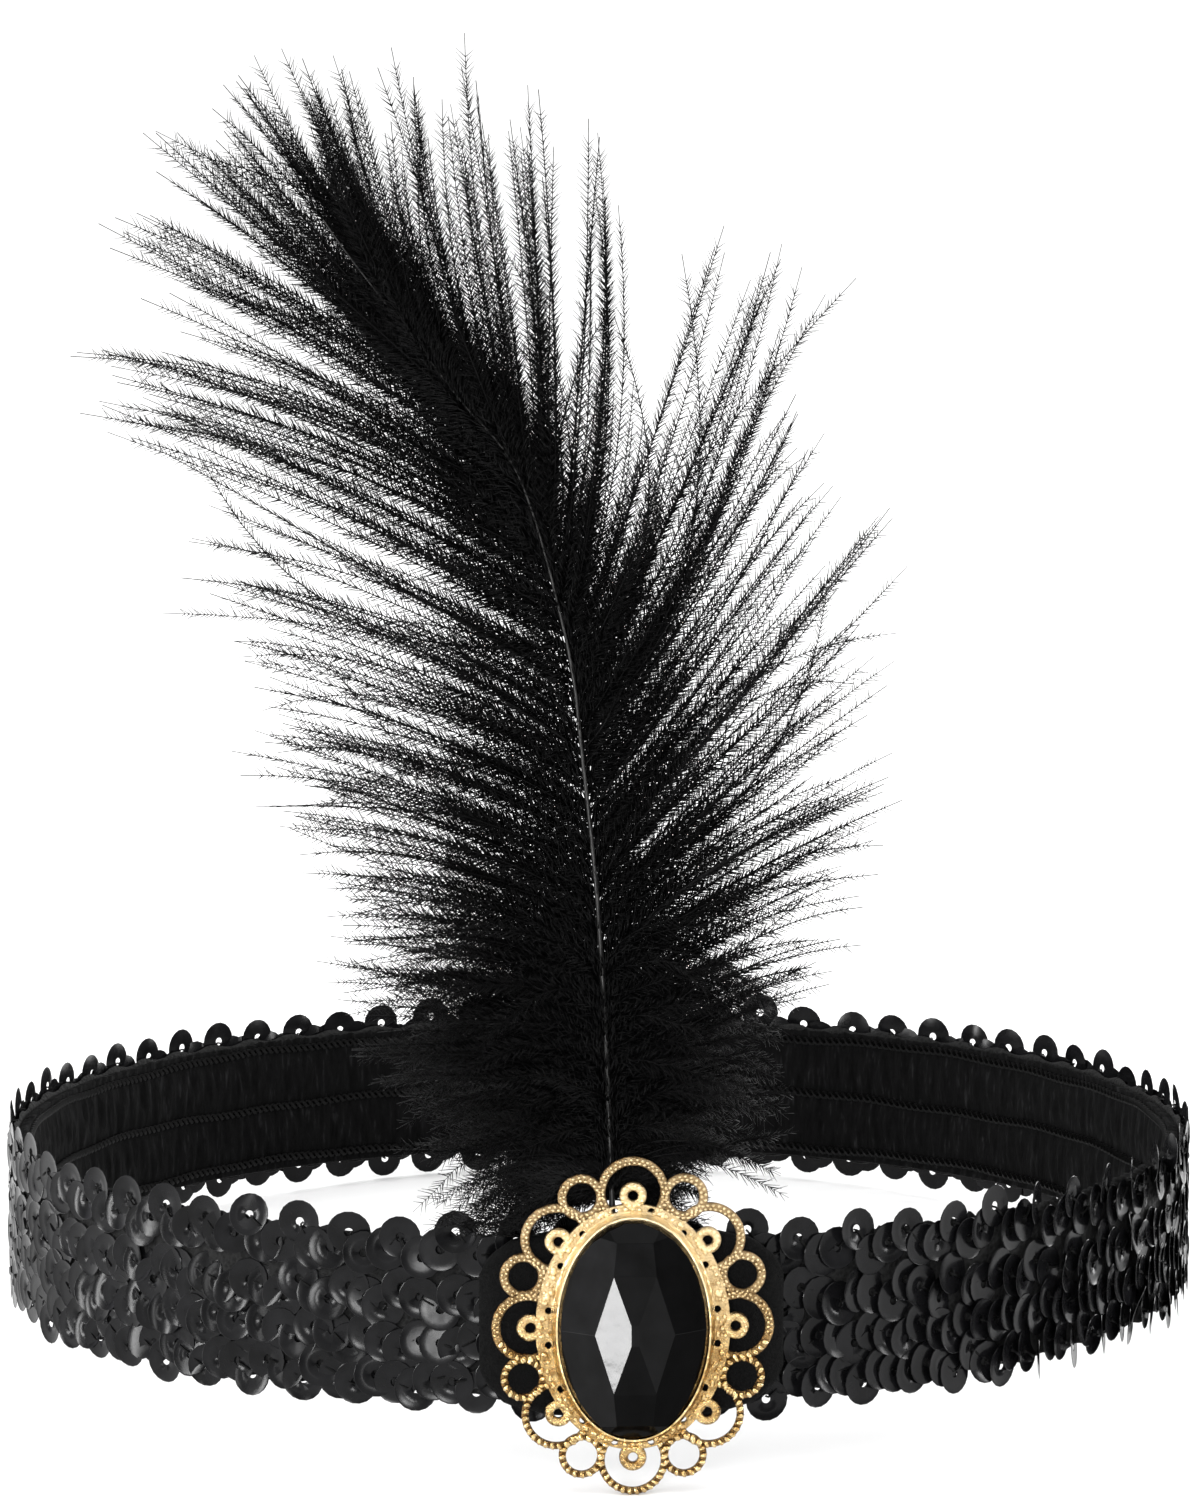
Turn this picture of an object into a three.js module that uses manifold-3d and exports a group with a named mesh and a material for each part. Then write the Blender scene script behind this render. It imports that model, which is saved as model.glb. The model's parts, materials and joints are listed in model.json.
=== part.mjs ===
// Flapper headband: a sequined stretch loop, a pierced gilt brooch with an oval stone, one plume.
// Millimetres, +Z up. The brooch faces -Y and +X is to its right as it is looked at.
import * as THREE from 'three';
import { mergeVertices } from 'three/addons/utils/BufferGeometryUtils.js';
import Module from 'manifold-3d';

// Space between pieces that lie against each other
const CLEARANCE = 0.3;

// Stretch elastic, gathered between three rows of stitching
const HEAD_RADIUS = 86;
const ELASTIC_WALL = 1.9;
const ELASTIC_HEIGHT = 21.6;
const GATHERS = 76;
const GATHER_DEPTH = 0.45;
const STITCH_DEPTH = 0.4;
const SEAT_HALF_WIDTH = 11;

// Sequins in four zigzag strings, one in three of each edge string standing past the edge
const SEQUIN_DIAMETER = 6;
const ZIGZAG_PERIOD = 8;
const TRIM_HEIGHT = 29.2;
const TRIM_WALL = 1.5;
const EDGE_STEP = 3.6;
const ROW_RELIEF = 0.5;

// Felt pad behind the brooch
const PAD_WIDTH = 41.6;
const PAD_HEIGHT = 26;
const PAD_WALL = 2.2;

// Stone
const STONE_WIDTH = 20;
const STONE_HEIGHT = 30;
const STONE_DEPTH = 5.4;

// Pierced setting
const PLATE_THICKNESS = 0.9;
const RIM_THICKNESS = 1.5;
const BEZEL_WALL = 0.5;
const BEZEL_DEPTH = 2.6;
const PLATE_SIDE_MARGIN = 3.4;
const PLATE_END_MARGIN = 2.2;
const EYELET_SIDE_MARGIN = 4.1;
const EYELET_END_MARGIN = 3.3;
const RIM_STRAND = 1.2;
const EYELET_RADIUS = 1.9;
const EYELET_HOLE_RADIUS = 0.65;
const PLATE_HOLE_RADIUS = 0.6;

// Half the number of sides of each round outline
const OVAL_ARCS = 13;
const RIM_ARCS = 7;
const SMALL_RIM_ARCS = 5;
const EYELET_ARCS = 4;
const HOLE_ARCS = 3;

// Plume
const QUILL_DIAMETER = 1.2;
const QUILL_X = -2.8;
const QUILL_DEPTH_IN_PAD = 16;
const PLUME_FOOT = 4.4;
const PLUME_HEIGHT = 160;
const LOCK_WIDTH = 11;
const LOCK_THICKNESS = 2.4;
const STREAK_THICKNESS = 3.4;
const BARB_RISE = 0.4;
const BARB_SPREAD = 0.26;
const PLUME_FORE = 9;

// Radii and levels that follow from the sizes above
const elasticOuter = HEAD_RADIUS + ELASTIC_WALL;
const trimInner = elasticOuter + CLEARANCE;
const trimOuter = trimInner + TRIM_WALL;
const padInner = trimOuter + CLEARANCE;
const padOuter = padInner + PAD_WALL;
const settingBack = padOuter + CLEARANCE;
const middle = TRIM_HEIGHT / 2;
const stoneHalfWidth = STONE_WIDTH / 2;
const stoneHalfHeight = STONE_HEIGHT / 2;
const quillRadius = QUILL_DIAMETER / 2;
const quillY = -(padOuter - quillRadius);
const padTop = middle + PAD_HEIGHT / 2;
const plumeFoot = padTop + PLUME_FOOT;

// Levels of the gathered inside: up is a share of the elastic's height, pull a share of the stitch depth
const ELASTIC_ROWS = [
  { up: 1, pull: 0.5 },
  { up: 0.71, pull: 0 },
  { up: 0.5, pull: 1 },
  { up: 0.29, pull: 0 },
  { up: 0, pull: 0.5 },
];

// Crests and valleys of the sequin strings: up is a share of the trim's height,
// out a share of the row relief, sway how far the crest follows its zigzag
const TRIM_ROWS = [
  { up: 0.165, out: 1, sway: -0.5 },
  { up: 0.285, out: 0, sway: 0 },
  { up: 0.39, out: 1, sway: 0.2 },
  { up: 0.5, out: 0, sway: 0 },
  { up: 0.61, out: 1, sway: -0.2 },
  { up: 0.715, out: 0, sway: 0 },
  { up: 0.835, out: 1, sway: 0.5 },
];

// Steps of one zigzag period, as a share of a sequin plus a share of the period. Where it stands is 1,
// a sequin stands past the edge.
const SCALLOP_STEPS = [
  { sequin: -0.22, period: 0, stands: 1 },
  { sequin: 0.22, period: 0, stands: 1 },
  { sequin: 0, period: 0.5, stands: 0 },
];

// Outline of the pad: along is a share of its half width, tall of its half height
const PAD_STATIONS = [
  { along: -1, tall: 0.5 },
  { along: -0.94, tall: 0.7 },
  { along: -0.8, tall: 0.88 },
  { along: -0.55, tall: 0.98 },
  { along: 0, tall: 1 },
  { along: 0.55, tall: 0.98 },
  { along: 0.8, tall: 0.88 },
  { along: 0.94, tall: 0.7 },
  { along: 1, tall: 0.5 },
];

// Facets of one quarter of the stone, as shares of its half width, half height and depth:
// the height over the base is 1 + rise - across * x - along * y
const STONE_FACETS = [
  { across: 0, along: 0, rise: -0.012 },
  { across: 0.241, along: 0, rise: 0 },
  { across: 0, along: 0.128, rise: 0 },
  { across: 1.335, along: 0.519, rise: 0.602 },
  { across: 0, along: 0.319, rise: 0.105 },
  { across: 1.111, along: 2.5, rise: 2.241 },
  { across: 0, along: 3.47, rise: 2.774 },
];

// Scallops of one quarter of the setting, as shares of the eyelets' half width and half height
const BIG_SCALLOPS = [
  { x: 0, y: 1, reach: 0.4 },
  { x: 0.725, y: 0.655, reach: 0.35 },
  { x: 1, y: 0, reach: 0.35 },
];
const SMALL_SCALLOPS = [
  { x: 0.5, y: 0.985 },
  { x: 1.065, y: 0.39 },
];
const BIG_SCALLOP_SHARE = 0.386;
const SMALL_SCALLOP_SHARE = 0.253;
const PLATE_HOLES = [
  { x: 0.187, y: 0.936 },
  { x: 0.515, y: 0.756 },
  { x: 0.739, y: 0.5 },
  { x: 0.866, y: 0.14 },
];

// The quill's line above the pad, in shares of the plume's height, and the dense streak along it:
// x and y are sideways and back, up is the height, thick a share of the lock width
const SPINE = [
  { x: 0, y: 0, up: 0, thick: 0.1 },
  { x: -0.005, y: 0.008, up: 0.137, thick: 0.1 },
  { x: -0.012, y: 0.02, up: 0.26, thick: 0.095 },
  { x: -0.023, y: 0.03, up: 0.37, thick: 0.09 },
  { x: -0.037, y: 0.036, up: 0.477, thick: 0.12 },
  { x: -0.077, y: 0.032, up: 0.617, thick: 0.75 },
  { x: -0.128, y: 0.022, up: 0.685, thick: 0.95 },
  { x: -0.186, y: 0.006, up: 0.761, thick: 0.8 },
  { x: -0.244, y: -0.012, up: 0.84, thick: 0.5 },
  { x: -0.314, y: -0.034, up: 0.955, thick: 0.08 },
];

// Locks of barbs: at is a share of the way along the quill's line, x and up place the tip in shares of
// the plume's height, fore is a share of the plume's depth towards the front, wide of the lock width
const LOCKS = [
  { at: 0.03, x: -0.15, up: 0.05, fore: 0, wide: 0.7 },
  { at: 0.07, x: -0.2, up: 0.12, fore: 0, wide: 1.3 },
  { at: 0.13, x: -0.215, up: 0.2, fore: -0.5, wide: 1.5 },
  { at: 0.2, x: -0.25, up: 0.3, fore: 0.6, wide: 1.6 },
  { at: 0.27, x: -0.295, up: 0.4, fore: -0.7, wide: 1.6 },
  { at: 0.34, x: -0.325, up: 0.495, fore: 0.8, wide: 1.5 },
  { at: 0.4, x: -0.355, up: 0.585, fore: -0.6, wide: 1.4 },
  { at: 0.46, x: -0.43, up: 0.675, fore: 0.9, wide: 1.3 },
  { at: 0.52, x: -0.445, up: 0.715, fore: -0.4, wide: 1 },
  { at: 0.575, x: -0.425, up: 0.78, fore: 1, wide: 1 },
  { at: 0.63, x: -0.385, up: 0.83, fore: 0.2, wide: 0.9 },
  { at: 0.72, x: -0.352, up: 0.92, fore: 0.9, wide: 0.8 },
  { at: 0.78, x: -0.28, up: 0.98, fore: -0.3, wide: 0.75 },
  { at: 0.71, x: -0.238, up: 0.995, fore: 0.8, wide: 0.85 },
  { at: 0.65, x: -0.18, up: 1, fore: -0.5, wide: 0.95 },
  { at: 0.6, x: -0.135, up: 0.99, fore: 0.7, wide: 0.95 },
  { at: 0.55, x: -0.08, up: 0.975, fore: -0.6, wide: 0.95 },
  { at: 0.49, x: -0.015, up: 0.915, fore: 0.4, wide: 0.9 },
  { at: 0.46, x: 0.04, up: 0.885, fore: -0.8, wide: 0.85 },
  { at: 0.42, x: 0.105, up: 0.82, fore: 0.7, wide: 1.05 },
  { at: 0.38, x: 0.13, up: 0.775, fore: -0.4, wide: 1.05 },
  { at: 0.34, x: 0.165, up: 0.665, fore: 0.9, wide: 1.3 },
  { at: 0.29, x: 0.205, up: 0.585, fore: -0.7, wide: 1.4 },
  { at: 0.24, x: 0.23, up: 0.475, fore: 0.5, wide: 1.5 },
  { at: 0.19, x: 0.23, up: 0.37, fore: -0.8, wide: 1.5 },
  { at: 0.14, x: 0.225, up: 0.29, fore: 0.6, wide: 1.3 },
  { at: 0.1, x: 0.19, up: 0.21, fore: -0.5, wide: 1.3 },
  { at: 0.06, x: 0.14, up: 0.13, fore: 0, wide: 1.2 },
  { at: 0.03, x: 0.11, up: 0.06, fore: 0, wide: 0.7 },
];

// Stations of a lock: along is a share of its length, wide of its width, thick of its thickness
const LOCK_STATIONS = [
  { along: 0, wide: 0.45, thick: 0.75 },
  { along: 0.42, wide: 1, thick: 1 },
  { along: 0.78, wide: 0.84, thick: 1 },
  { along: 1, wide: 0.04, thick: 0.34 },
];

const wasm = await Module();
wasm.setup();

function signedVolume(points, triangles) {
  const a = new THREE.Vector3();
  const b = new THREE.Vector3();
  const c = new THREE.Vector3();
  let sum = 0;
  for (let i = 0; i < triangles.length; i += 3) {
    a.fromArray(points, triangles[i] * 3);
    b.fromArray(points, triangles[i + 1] * 3);
    c.fromArray(points, triangles[i + 2] * 3);
    sum += a.dot(b.cross(c)) / 6;
  }
  return sum;
}

// A closed indexed geometry whose faces point outwards
function closedGeometry(points, triangles) {
  if (signedVolume(points, triangles) < 0) {
    triangles.reverse();
  }
  const geometry = new THREE.BufferGeometry();
  geometry.setAttribute('position', new THREE.Float32BufferAttribute(points, 3));
  geometry.setIndex(triangles);
  return geometry;
}

// Joins sections of equal length by quads. A loop closes on its first section, a bar is capped.
function loft(sections, isLoop) {
  const size = sections[0].length;
  const points = sections.flat().flatMap((p) => [p.x, p.y, p.z]);
  const triangles = [];
  const spans = isLoop ? sections.length : sections.length - 1;
  for (let i = 0; i < spans; i += 1) {
    const here = i * size;
    const next = ((i + 1) % sections.length) * size;
    for (let j = 0; j < size; j += 1) {
      const k = (j + 1) % size;
      triangles.push(here + j, next + j, next + k, here + j, next + k, here + k);
    }
  }
  if (!isLoop) {
    const last = (sections.length - 1) * size;
    for (let j = 1; j < size - 1; j += 1) {
      triangles.push(0, j, j + 1);
      triangles.push(last, last + j + 1, last + j);
    }
  }
  return closedGeometry(points, triangles);
}

function toSolid(geometry) {
  const bare = geometry.clone();
  bare.deleteAttribute('normal');
  bare.deleteAttribute('uv');
  const merged = mergeVertices(bare, 1e-4);
  return new wasm.Manifold(new wasm.Mesh({
    numProp: 3,
    vertProperties: new Float32Array(merged.attributes.position.array),
    triVerts: new Uint32Array(merged.index.array),
  }));
}

function toGeometry(solid) {
  const mesh = solid.getMesh();
  const geometry = new THREE.BufferGeometry();
  geometry.setAttribute('position', new THREE.BufferAttribute(new Float32Array(mesh.vertProperties), 3));
  geometry.setIndex(new THREE.BufferAttribute(new Uint32Array(mesh.triVerts), 1));
  return geometry;
}

function union(geometries) {
  return geometries.map(toSolid).reduce((sum, solid) => sum.add(solid));
}

// A point of the band: angle 0 is the front, height is over the band's lower edge
function aroundBand(radius, angle, height) {
  return new THREE.Vector3(radius * Math.sin(angle), -radius * Math.cos(angle), height);
}

function elasticBand() {
  const steps = GATHERS * 2;
  const bottom = middle - ELASTIC_HEIGHT / 2;
  const seatAngle = Math.asin(SEAT_HALF_WIDTH / HEAD_RADIUS);
  const sections = [];
  for (let i = 0; i < steps; i += 1) {
    const angle = ((i + 0.5) / steps) * 2 * Math.PI;
    const fromFront = Math.min(angle, 2 * Math.PI - angle);
    const gather = i % 2 === 0 ? 0 : GATHER_DEPTH;
    const inside = ELASTIC_ROWS.map((row) => {
      const ribbed = HEAD_RADIUS + gather + STITCH_DEPTH * row.pull;
      const radius = fromFront < seatAngle ? HEAD_RADIUS / Math.cos(angle) : ribbed;
      return aroundBand(radius, angle, bottom + ELASTIC_HEIGHT * row.up);
    });
    sections.push([
      aroundBand(elasticOuter, angle, bottom),
      aroundBand(elasticOuter, angle, bottom + ELASTIC_HEIGHT),
      ...inside,
    ]);
  }
  return loft(sections, true);
}

function sequinTrim() {
  const periods = Math.round((2 * Math.PI * trimOuter) / ZIGZAG_PERIOD);
  const period = (2 * Math.PI * trimOuter) / periods;
  const sections = [];
  for (let i = 0; i < periods; i += 1) {
    for (const step of SCALLOP_STEPS) {
      const along = period * (i + step.period) + SEQUIN_DIAMETER * step.sequin;
      const angle = along / trimOuter;
      const edge = EDGE_STEP * (1 - step.stands);
      const face = TRIM_ROWS.map((row) => aroundBand(
        trimOuter - ROW_RELIEF * (1 - row.out),
        angle,
        TRIM_HEIGHT * row.up + EDGE_STEP * row.sway * step.stands,
      ));
      sections.push([
        aroundBand(trimInner, angle, edge),
        ...face,
        aroundBand(trimInner, angle, TRIM_HEIGHT - edge),
      ]);
    }
  }
  return loft(sections, true);
}

function backingPad() {
  const halfAngle = PAD_WIDTH / 2 / padInner;
  const halfHeight = PAD_HEIGHT / 2;
  const sections = PAD_STATIONS.map((station) => {
    const angle = halfAngle * station.along;
    const rise = halfHeight * station.tall;
    return [
      aroundBand(padInner, angle, middle - rise),
      aroundBand(padOuter, angle, middle - rise),
      aroundBand(padOuter, angle, middle + rise),
      aroundBand(padInner, angle, middle + rise),
    ];
  });
  const grooveBottom = quillY + quillRadius + CLEARANCE;
  const grooveDepth = grooveBottom + padOuter + CLEARANCE;
  const grooveLength = QUILL_DEPTH_IN_PAD + CLEARANCE;
  const grooveWidth = QUILL_DIAMETER + 2 * CLEARANCE;
  const groove = new THREE.BoxGeometry(grooveWidth, grooveDepth, 2 * grooveLength);
  groove.translate(QUILL_X, grooveBottom - grooveDepth / 2, padTop);
  return toGeometry(toSolid(loft(sections, false)).subtract(toSolid(groove)));
}

// Mirrors a row of a quarter table into the quarters where it differs
function mirrored(row) {
  const copies = [];
  for (const sideX of row.x === 0 ? [1] : [1, -1]) {
    for (const sideY of row.y === 0 ? [1] : [1, -1]) {
      copies.push({ ...row, x: row.x * sideX, y: row.y * sideY });
    }
  }
  return copies;
}

function disc(x, y, radius, depth, segments) {
  const shape = new THREE.Shape();
  shape.absarc(0, 0, radius, 0, 2 * Math.PI);
  const geometry = new THREE.ExtrudeGeometry(shape, { depth, bevelEnabled: false, curveSegments: segments });
  return geometry.translate(x, y, 0);
}

function annulus(x, y, radius, strand, depth, segments) {
  const shape = new THREE.Shape();
  const hole = new THREE.Path();
  shape.absarc(0, 0, radius, 0, 2 * Math.PI);
  hole.absarc(0, 0, radius - strand, 0, 2 * Math.PI);
  shape.holes.push(hole);
  const geometry = new THREE.ExtrudeGeometry(shape, { depth, bevelEnabled: false, curveSegments: segments });
  return geometry.translate(x, y, 0);
}

function oval(halfWidth, halfHeight, depth, segments) {
  const shape = new THREE.Shape();
  shape.absellipse(0, 0, halfWidth, halfHeight, 0, 2 * Math.PI);
  return new THREE.ExtrudeGeometry(shape, { depth, bevelEnabled: false, curveSegments: segments });
}

// The setting lies in x and y with its back at zero and its face towards +z
function broochSetting() {
  const eyeletX = stoneHalfWidth + EYELET_SIDE_MARGIN;
  const eyeletY = stoneHalfHeight + EYELET_END_MARGIN;
  const plateX = stoneHalfWidth + PLATE_SIDE_MARGIN;
  const plateY = stoneHalfHeight + PLATE_END_MARGIN;
  const spacing = (Math.PI / 4) * Math.sqrt((eyeletX ** 2 + eyeletY ** 2) / 2);
  const bigRadius = spacing * BIG_SCALLOP_SHARE;
  const smallRadius = spacing * SMALL_SCALLOP_SHARE;
  const plate = toSolid(oval(plateX, plateY, PLATE_THICKNESS, OVAL_ARCS));
  const cutDepth = RIM_THICKNESS + 2 * PLATE_THICKNESS;
  const core = oval(plateX - PLATE_THICKNESS, plateY - PLATE_THICKNESS, cutDepth, OVAL_ARCS);
  const rims = [];
  const eyelets = [];
  const cuts = [];
  for (const row of BIG_SCALLOPS.flatMap(mirrored)) {
    const x = row.x * eyeletX;
    const y = row.y * eyeletY;
    const outward = 1 + row.reach / Math.hypot(x, y);
    rims.push(annulus(x * outward, y * outward, bigRadius, RIM_STRAND, RIM_THICKNESS, RIM_ARCS));
    eyelets.push(disc(x, y, EYELET_RADIUS, RIM_THICKNESS, EYELET_ARCS));
    cuts.push(disc(x, y, EYELET_HOLE_RADIUS, cutDepth, HOLE_ARCS));
  }
  for (const row of SMALL_SCALLOPS.flatMap(mirrored)) {
    const x = row.x * eyeletX;
    const y = row.y * eyeletY;
    rims.push(annulus(x, y, smallRadius, RIM_STRAND, RIM_THICKNESS, SMALL_RIM_ARCS));
  }
  for (const row of PLATE_HOLES.flatMap(mirrored)) {
    cuts.push(disc(row.x * plateX, row.y * plateY, PLATE_HOLE_RADIUS, cutDepth, HOLE_ARCS));
  }
  const seatX = stoneHalfWidth + CLEARANCE;
  const seatY = stoneHalfHeight + CLEARANCE;
  const bezel = toSolid(oval(seatX + BEZEL_WALL, seatY + BEZEL_WALL, BEZEL_DEPTH, OVAL_ARCS));
  const seat = oval(seatX, seatY, BEZEL_DEPTH, OVAL_ARCS).translate(0, 0, PLATE_THICKNESS);
  const through = cuts.map((cut) => cut.translate(0, 0, -PLATE_THICKNESS));
  const edging = union(rims).subtract(toSolid(core.translate(0, 0, -PLATE_THICKNESS)));
  const metal = plate.add(edging).add(union(eyelets)).add(bezel);
  return toGeometry(metal.subtract(toSolid(seat)).subtract(union(through)));
}

// The stone lies in x and y with its flat back at zero and its table towards +z
function stone() {
  const reach = STONE_HEIGHT;
  let body = toSolid(oval(stoneHalfWidth, stoneHalfHeight, STONE_DEPTH, OVAL_ARCS));
  const up = new THREE.Vector3(0, 0, 1);
  for (const facet of STONE_FACETS) {
    const row = { ...facet, x: facet.across, y: facet.along };
    for (const copy of mirrored(row)) {
      const slopeX = (copy.x * STONE_DEPTH) / stoneHalfWidth;
      const slopeY = (copy.y * STONE_DEPTH) / stoneHalfHeight;
      const normal = new THREE.Vector3(slopeX, slopeY, 1).normalize();
      const cutter = new THREE.BoxGeometry(4 * reach, 4 * reach, 2 * reach).translate(0, 0, reach);
      cutter.applyQuaternion(new THREE.Quaternion().setFromUnitVectors(up, normal));
      cutter.translate(0, 0, STONE_DEPTH * (1 + facet.rise));
      body = body.subtract(toSolid(cutter));
    }
  }
  return toGeometry(body);
}

// A point of the plume given in shares of its height over its foot
function plumePoint(x, back, up) {
  return new THREE.Vector3(
    QUILL_X + PLUME_HEIGHT * x,
    quillY + PLUME_HEIGHT * back,
    plumeFoot + PLUME_HEIGHT * up,
  );
}

// A flat bar with a rhombus section along a curve in the plume's plane
function bar(curve, stations) {
  const across = new THREE.Vector3();
  const sections = stations.map(({ along, wide, thick }) => {
    const p = curve.getPointAt(along);
    const tangent = curve.getTangentAt(along);
    across.set(tangent.z, 0, -tangent.x).normalize();
    const fore = new THREE.Vector3(0, thick / 2, 0);
    return [
      p.clone().addScaledVector(across, wide / 2),
      p.clone().add(fore),
      p.clone().addScaledVector(across, -wide / 2),
      p.clone().sub(fore),
    ];
  });
  return loft(sections, false);
}

function plumeLock(spine, row) {
  const root = spine.getPointAt(row.at);
  const tangent = spine.getTangentAt(row.at);
  const tip = plumePoint(row.x, 0, row.up);
  tip.y = root.y - PLUME_FORE * row.fore;
  const length = root.distanceTo(tip);
  const outward = new THREE.Vector3(tangent.z, 0, -tangent.x);
  outward.multiplyScalar(Math.sign(tip.clone().sub(root).dot(outward)));
  const bend = root.clone();
  bend.addScaledVector(tangent, length * BARB_RISE);
  bend.addScaledVector(outward, length * BARB_SPREAD);
  const curve = new THREE.QuadraticBezierCurve3(root, bend, tip);
  const stations = LOCK_STATIONS.map(({ along, wide, thick }) => ({
    along,
    wide: LOCK_WIDTH * row.wide * wide,
    thick: LOCK_THICKNESS * thick,
  }));
  return bar(curve, stations);
}

function feather() {
  const spine = new THREE.CatmullRomCurve3(SPINE.map((row) => plumePoint(row.x, row.y, row.up)));
  const quillBottom = padTop - QUILL_DEPTH_IN_PAD;
  const quillTop = plumePoint(SPINE[1].x, 0, SPINE[1].up / 2).z;
  const quill = new THREE.CylinderGeometry(quillRadius, quillRadius, quillTop - quillBottom, 8);
  quill.rotateX(Math.PI / 2);
  quill.translate(QUILL_X, quillY, (quillBottom + quillTop) / 2);
  const spineStations = SPINE.map((row, i) => ({
    along: i / (SPINE.length - 1),
    wide: LOCK_WIDTH * row.thick,
    thick: Math.min(LOCK_WIDTH * row.thick, STREAK_THICKNESS),
  }));
  return toGeometry(union([
    quill,
    bar(spine, spineStations),
    ...LOCKS.map((row) => plumeLock(spine, row)),
  ]));
}

function piece(name, geometry, color, roughness, metalness) {
  const faceted = geometry.index ? geometry.toNonIndexed() : geometry;
  faceted.computeVertexNormals();
  const material = new THREE.MeshStandardMaterial({ color, roughness, metalness, flatShading: true });
  const mesh = new THREE.Mesh(faceted, material);
  mesh.name = name;
  return mesh;
}

// Puts a piece made lying on its back against the front of the band, facing forward
function onFront(mesh, distance) {
  mesh.rotation.x = Math.PI / 2;
  mesh.position.set(0, -distance, middle);
  return mesh;
}

const band = new THREE.Group();
band.add(
  piece('elastic_band', elasticBand(), 0x101010, 0.9, 0),
  piece('sequin_trim', sequinTrim(), 0x1b1b1b, 0.3, 0),
  piece('backing_pad', backingPad(), 0x0c0c0c, 0.95, 0),
  onFront(piece('brooch_setting', broochSetting(), 0xd8ad55, 0.35, 1), settingBack),
  onFront(piece('stone', stone(), 0x0a0a0a, 0.1, 0), settingBack + PLATE_THICKNESS + CLEARANCE),
  piece('feather', feather(), 0x0a0a0a, 0.8, 0),
);

// The band rests on the brooch's lower scallop in front and on its own lower edge behind
const settingBox = new THREE.Box3().setFromObject(band.getObjectByName('brooch_setting'));
const drop = -settingBox.min.z;
const restTilt = Math.atan2(drop, trimInner - settingBox.max.y);
band.rotation.x = -restTilt;

const group = new THREE.Group();
group.add(band);
group.updateMatrixWorld(true);
const bounds = new THREE.Box3().setFromObject(group, true);
band.position.set(
  -(bounds.min.x + bounds.max.x) / 2,
  -(bounds.min.y + bounds.max.y) / 2,
  -bounds.min.z,
);

export default group;
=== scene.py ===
"""Flapper headband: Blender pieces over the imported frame.

Shapes are built in millimetres in the band's own frame: the band's axis is z, its lower edge is
at z = 0, the brooch faces -y, and angle 0 is the front. place() turns them into the row frame.
"""

import json
import math

import bmesh
import bpy
import numpy as np
from mathutils import Matrix, Vector


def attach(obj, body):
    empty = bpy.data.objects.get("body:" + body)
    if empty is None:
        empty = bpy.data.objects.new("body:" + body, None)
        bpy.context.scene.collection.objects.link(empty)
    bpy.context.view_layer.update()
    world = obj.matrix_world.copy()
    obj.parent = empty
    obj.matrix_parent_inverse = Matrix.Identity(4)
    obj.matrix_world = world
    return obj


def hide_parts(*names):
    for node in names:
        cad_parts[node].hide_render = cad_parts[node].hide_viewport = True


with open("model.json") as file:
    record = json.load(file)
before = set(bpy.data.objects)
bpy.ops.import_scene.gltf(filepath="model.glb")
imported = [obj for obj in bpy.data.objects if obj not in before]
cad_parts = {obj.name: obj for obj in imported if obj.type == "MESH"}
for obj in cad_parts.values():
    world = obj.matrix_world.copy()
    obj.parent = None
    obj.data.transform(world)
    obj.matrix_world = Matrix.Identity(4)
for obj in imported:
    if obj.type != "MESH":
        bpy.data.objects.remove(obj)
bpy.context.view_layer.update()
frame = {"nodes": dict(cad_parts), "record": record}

MM = 0.001
TAU = 2 * math.pi

# Sizes and places shared with the solids, in millimetres
HEAD_RADIUS = 86.0
ELASTIC_WALL = 1.9
ELASTIC_LOW, ELASTIC_HIGH = 3.8, 25.4
TRIM_INNER = 88.2
TRIM_HEIGHT = 29.2
MIDDLE = TRIM_HEIGHT / 2
PERIODS = 70
SEQUIN_RADIUS = 3.0
PAD_INNER, PAD_OUTER = 90.0, 92.2
PAD_HALF_ANGLE = 20.8 / PAD_INNER
PAD_HALF_HEIGHT = 13.0
SETTING_BACK = 92.5
SEAT_HALF_WIDTH = 11.0
STONE_X, STONE_Y = 10.0, 15.0
QUILL_X = -2.8
QUILL_Y = -91.6
QUILL_RADIUS = 0.6
PLUME_FOOT = 32.0
PLUME_HEIGHT = 160.0
FORE_SEAT = (0.0, -86.0, 15.8)

rng = np.random.default_rng(11)

# The band's frame in the row frame, from the mount on the forehead
mount = next(m for m in frame["record"]["mounts"] if m["name"] == "forehead_seat")
tilt_cos, tilt_sin = mount["axis"][1], -mount["axis"][2]
TURN = np.array([[1, 0, 0], [0, tilt_cos, tilt_sin], [0, -tilt_sin, tilt_cos]])
SHIFT = np.array(mount["pos_m"]) - TURN @ np.array(FORE_SEAT) * MM


def place(points):
    return np.asarray(points, float) * MM @ TURN.T + SHIFT


def unit(v):
    return v / np.maximum(np.linalg.norm(v, axis=-1, keepdims=True), 1e-9)


def around(radius, angle, height):
    return np.stack(np.broadcast_arrays(radius * np.sin(angle), -radius * np.cos(angle), height), -1)


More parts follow.
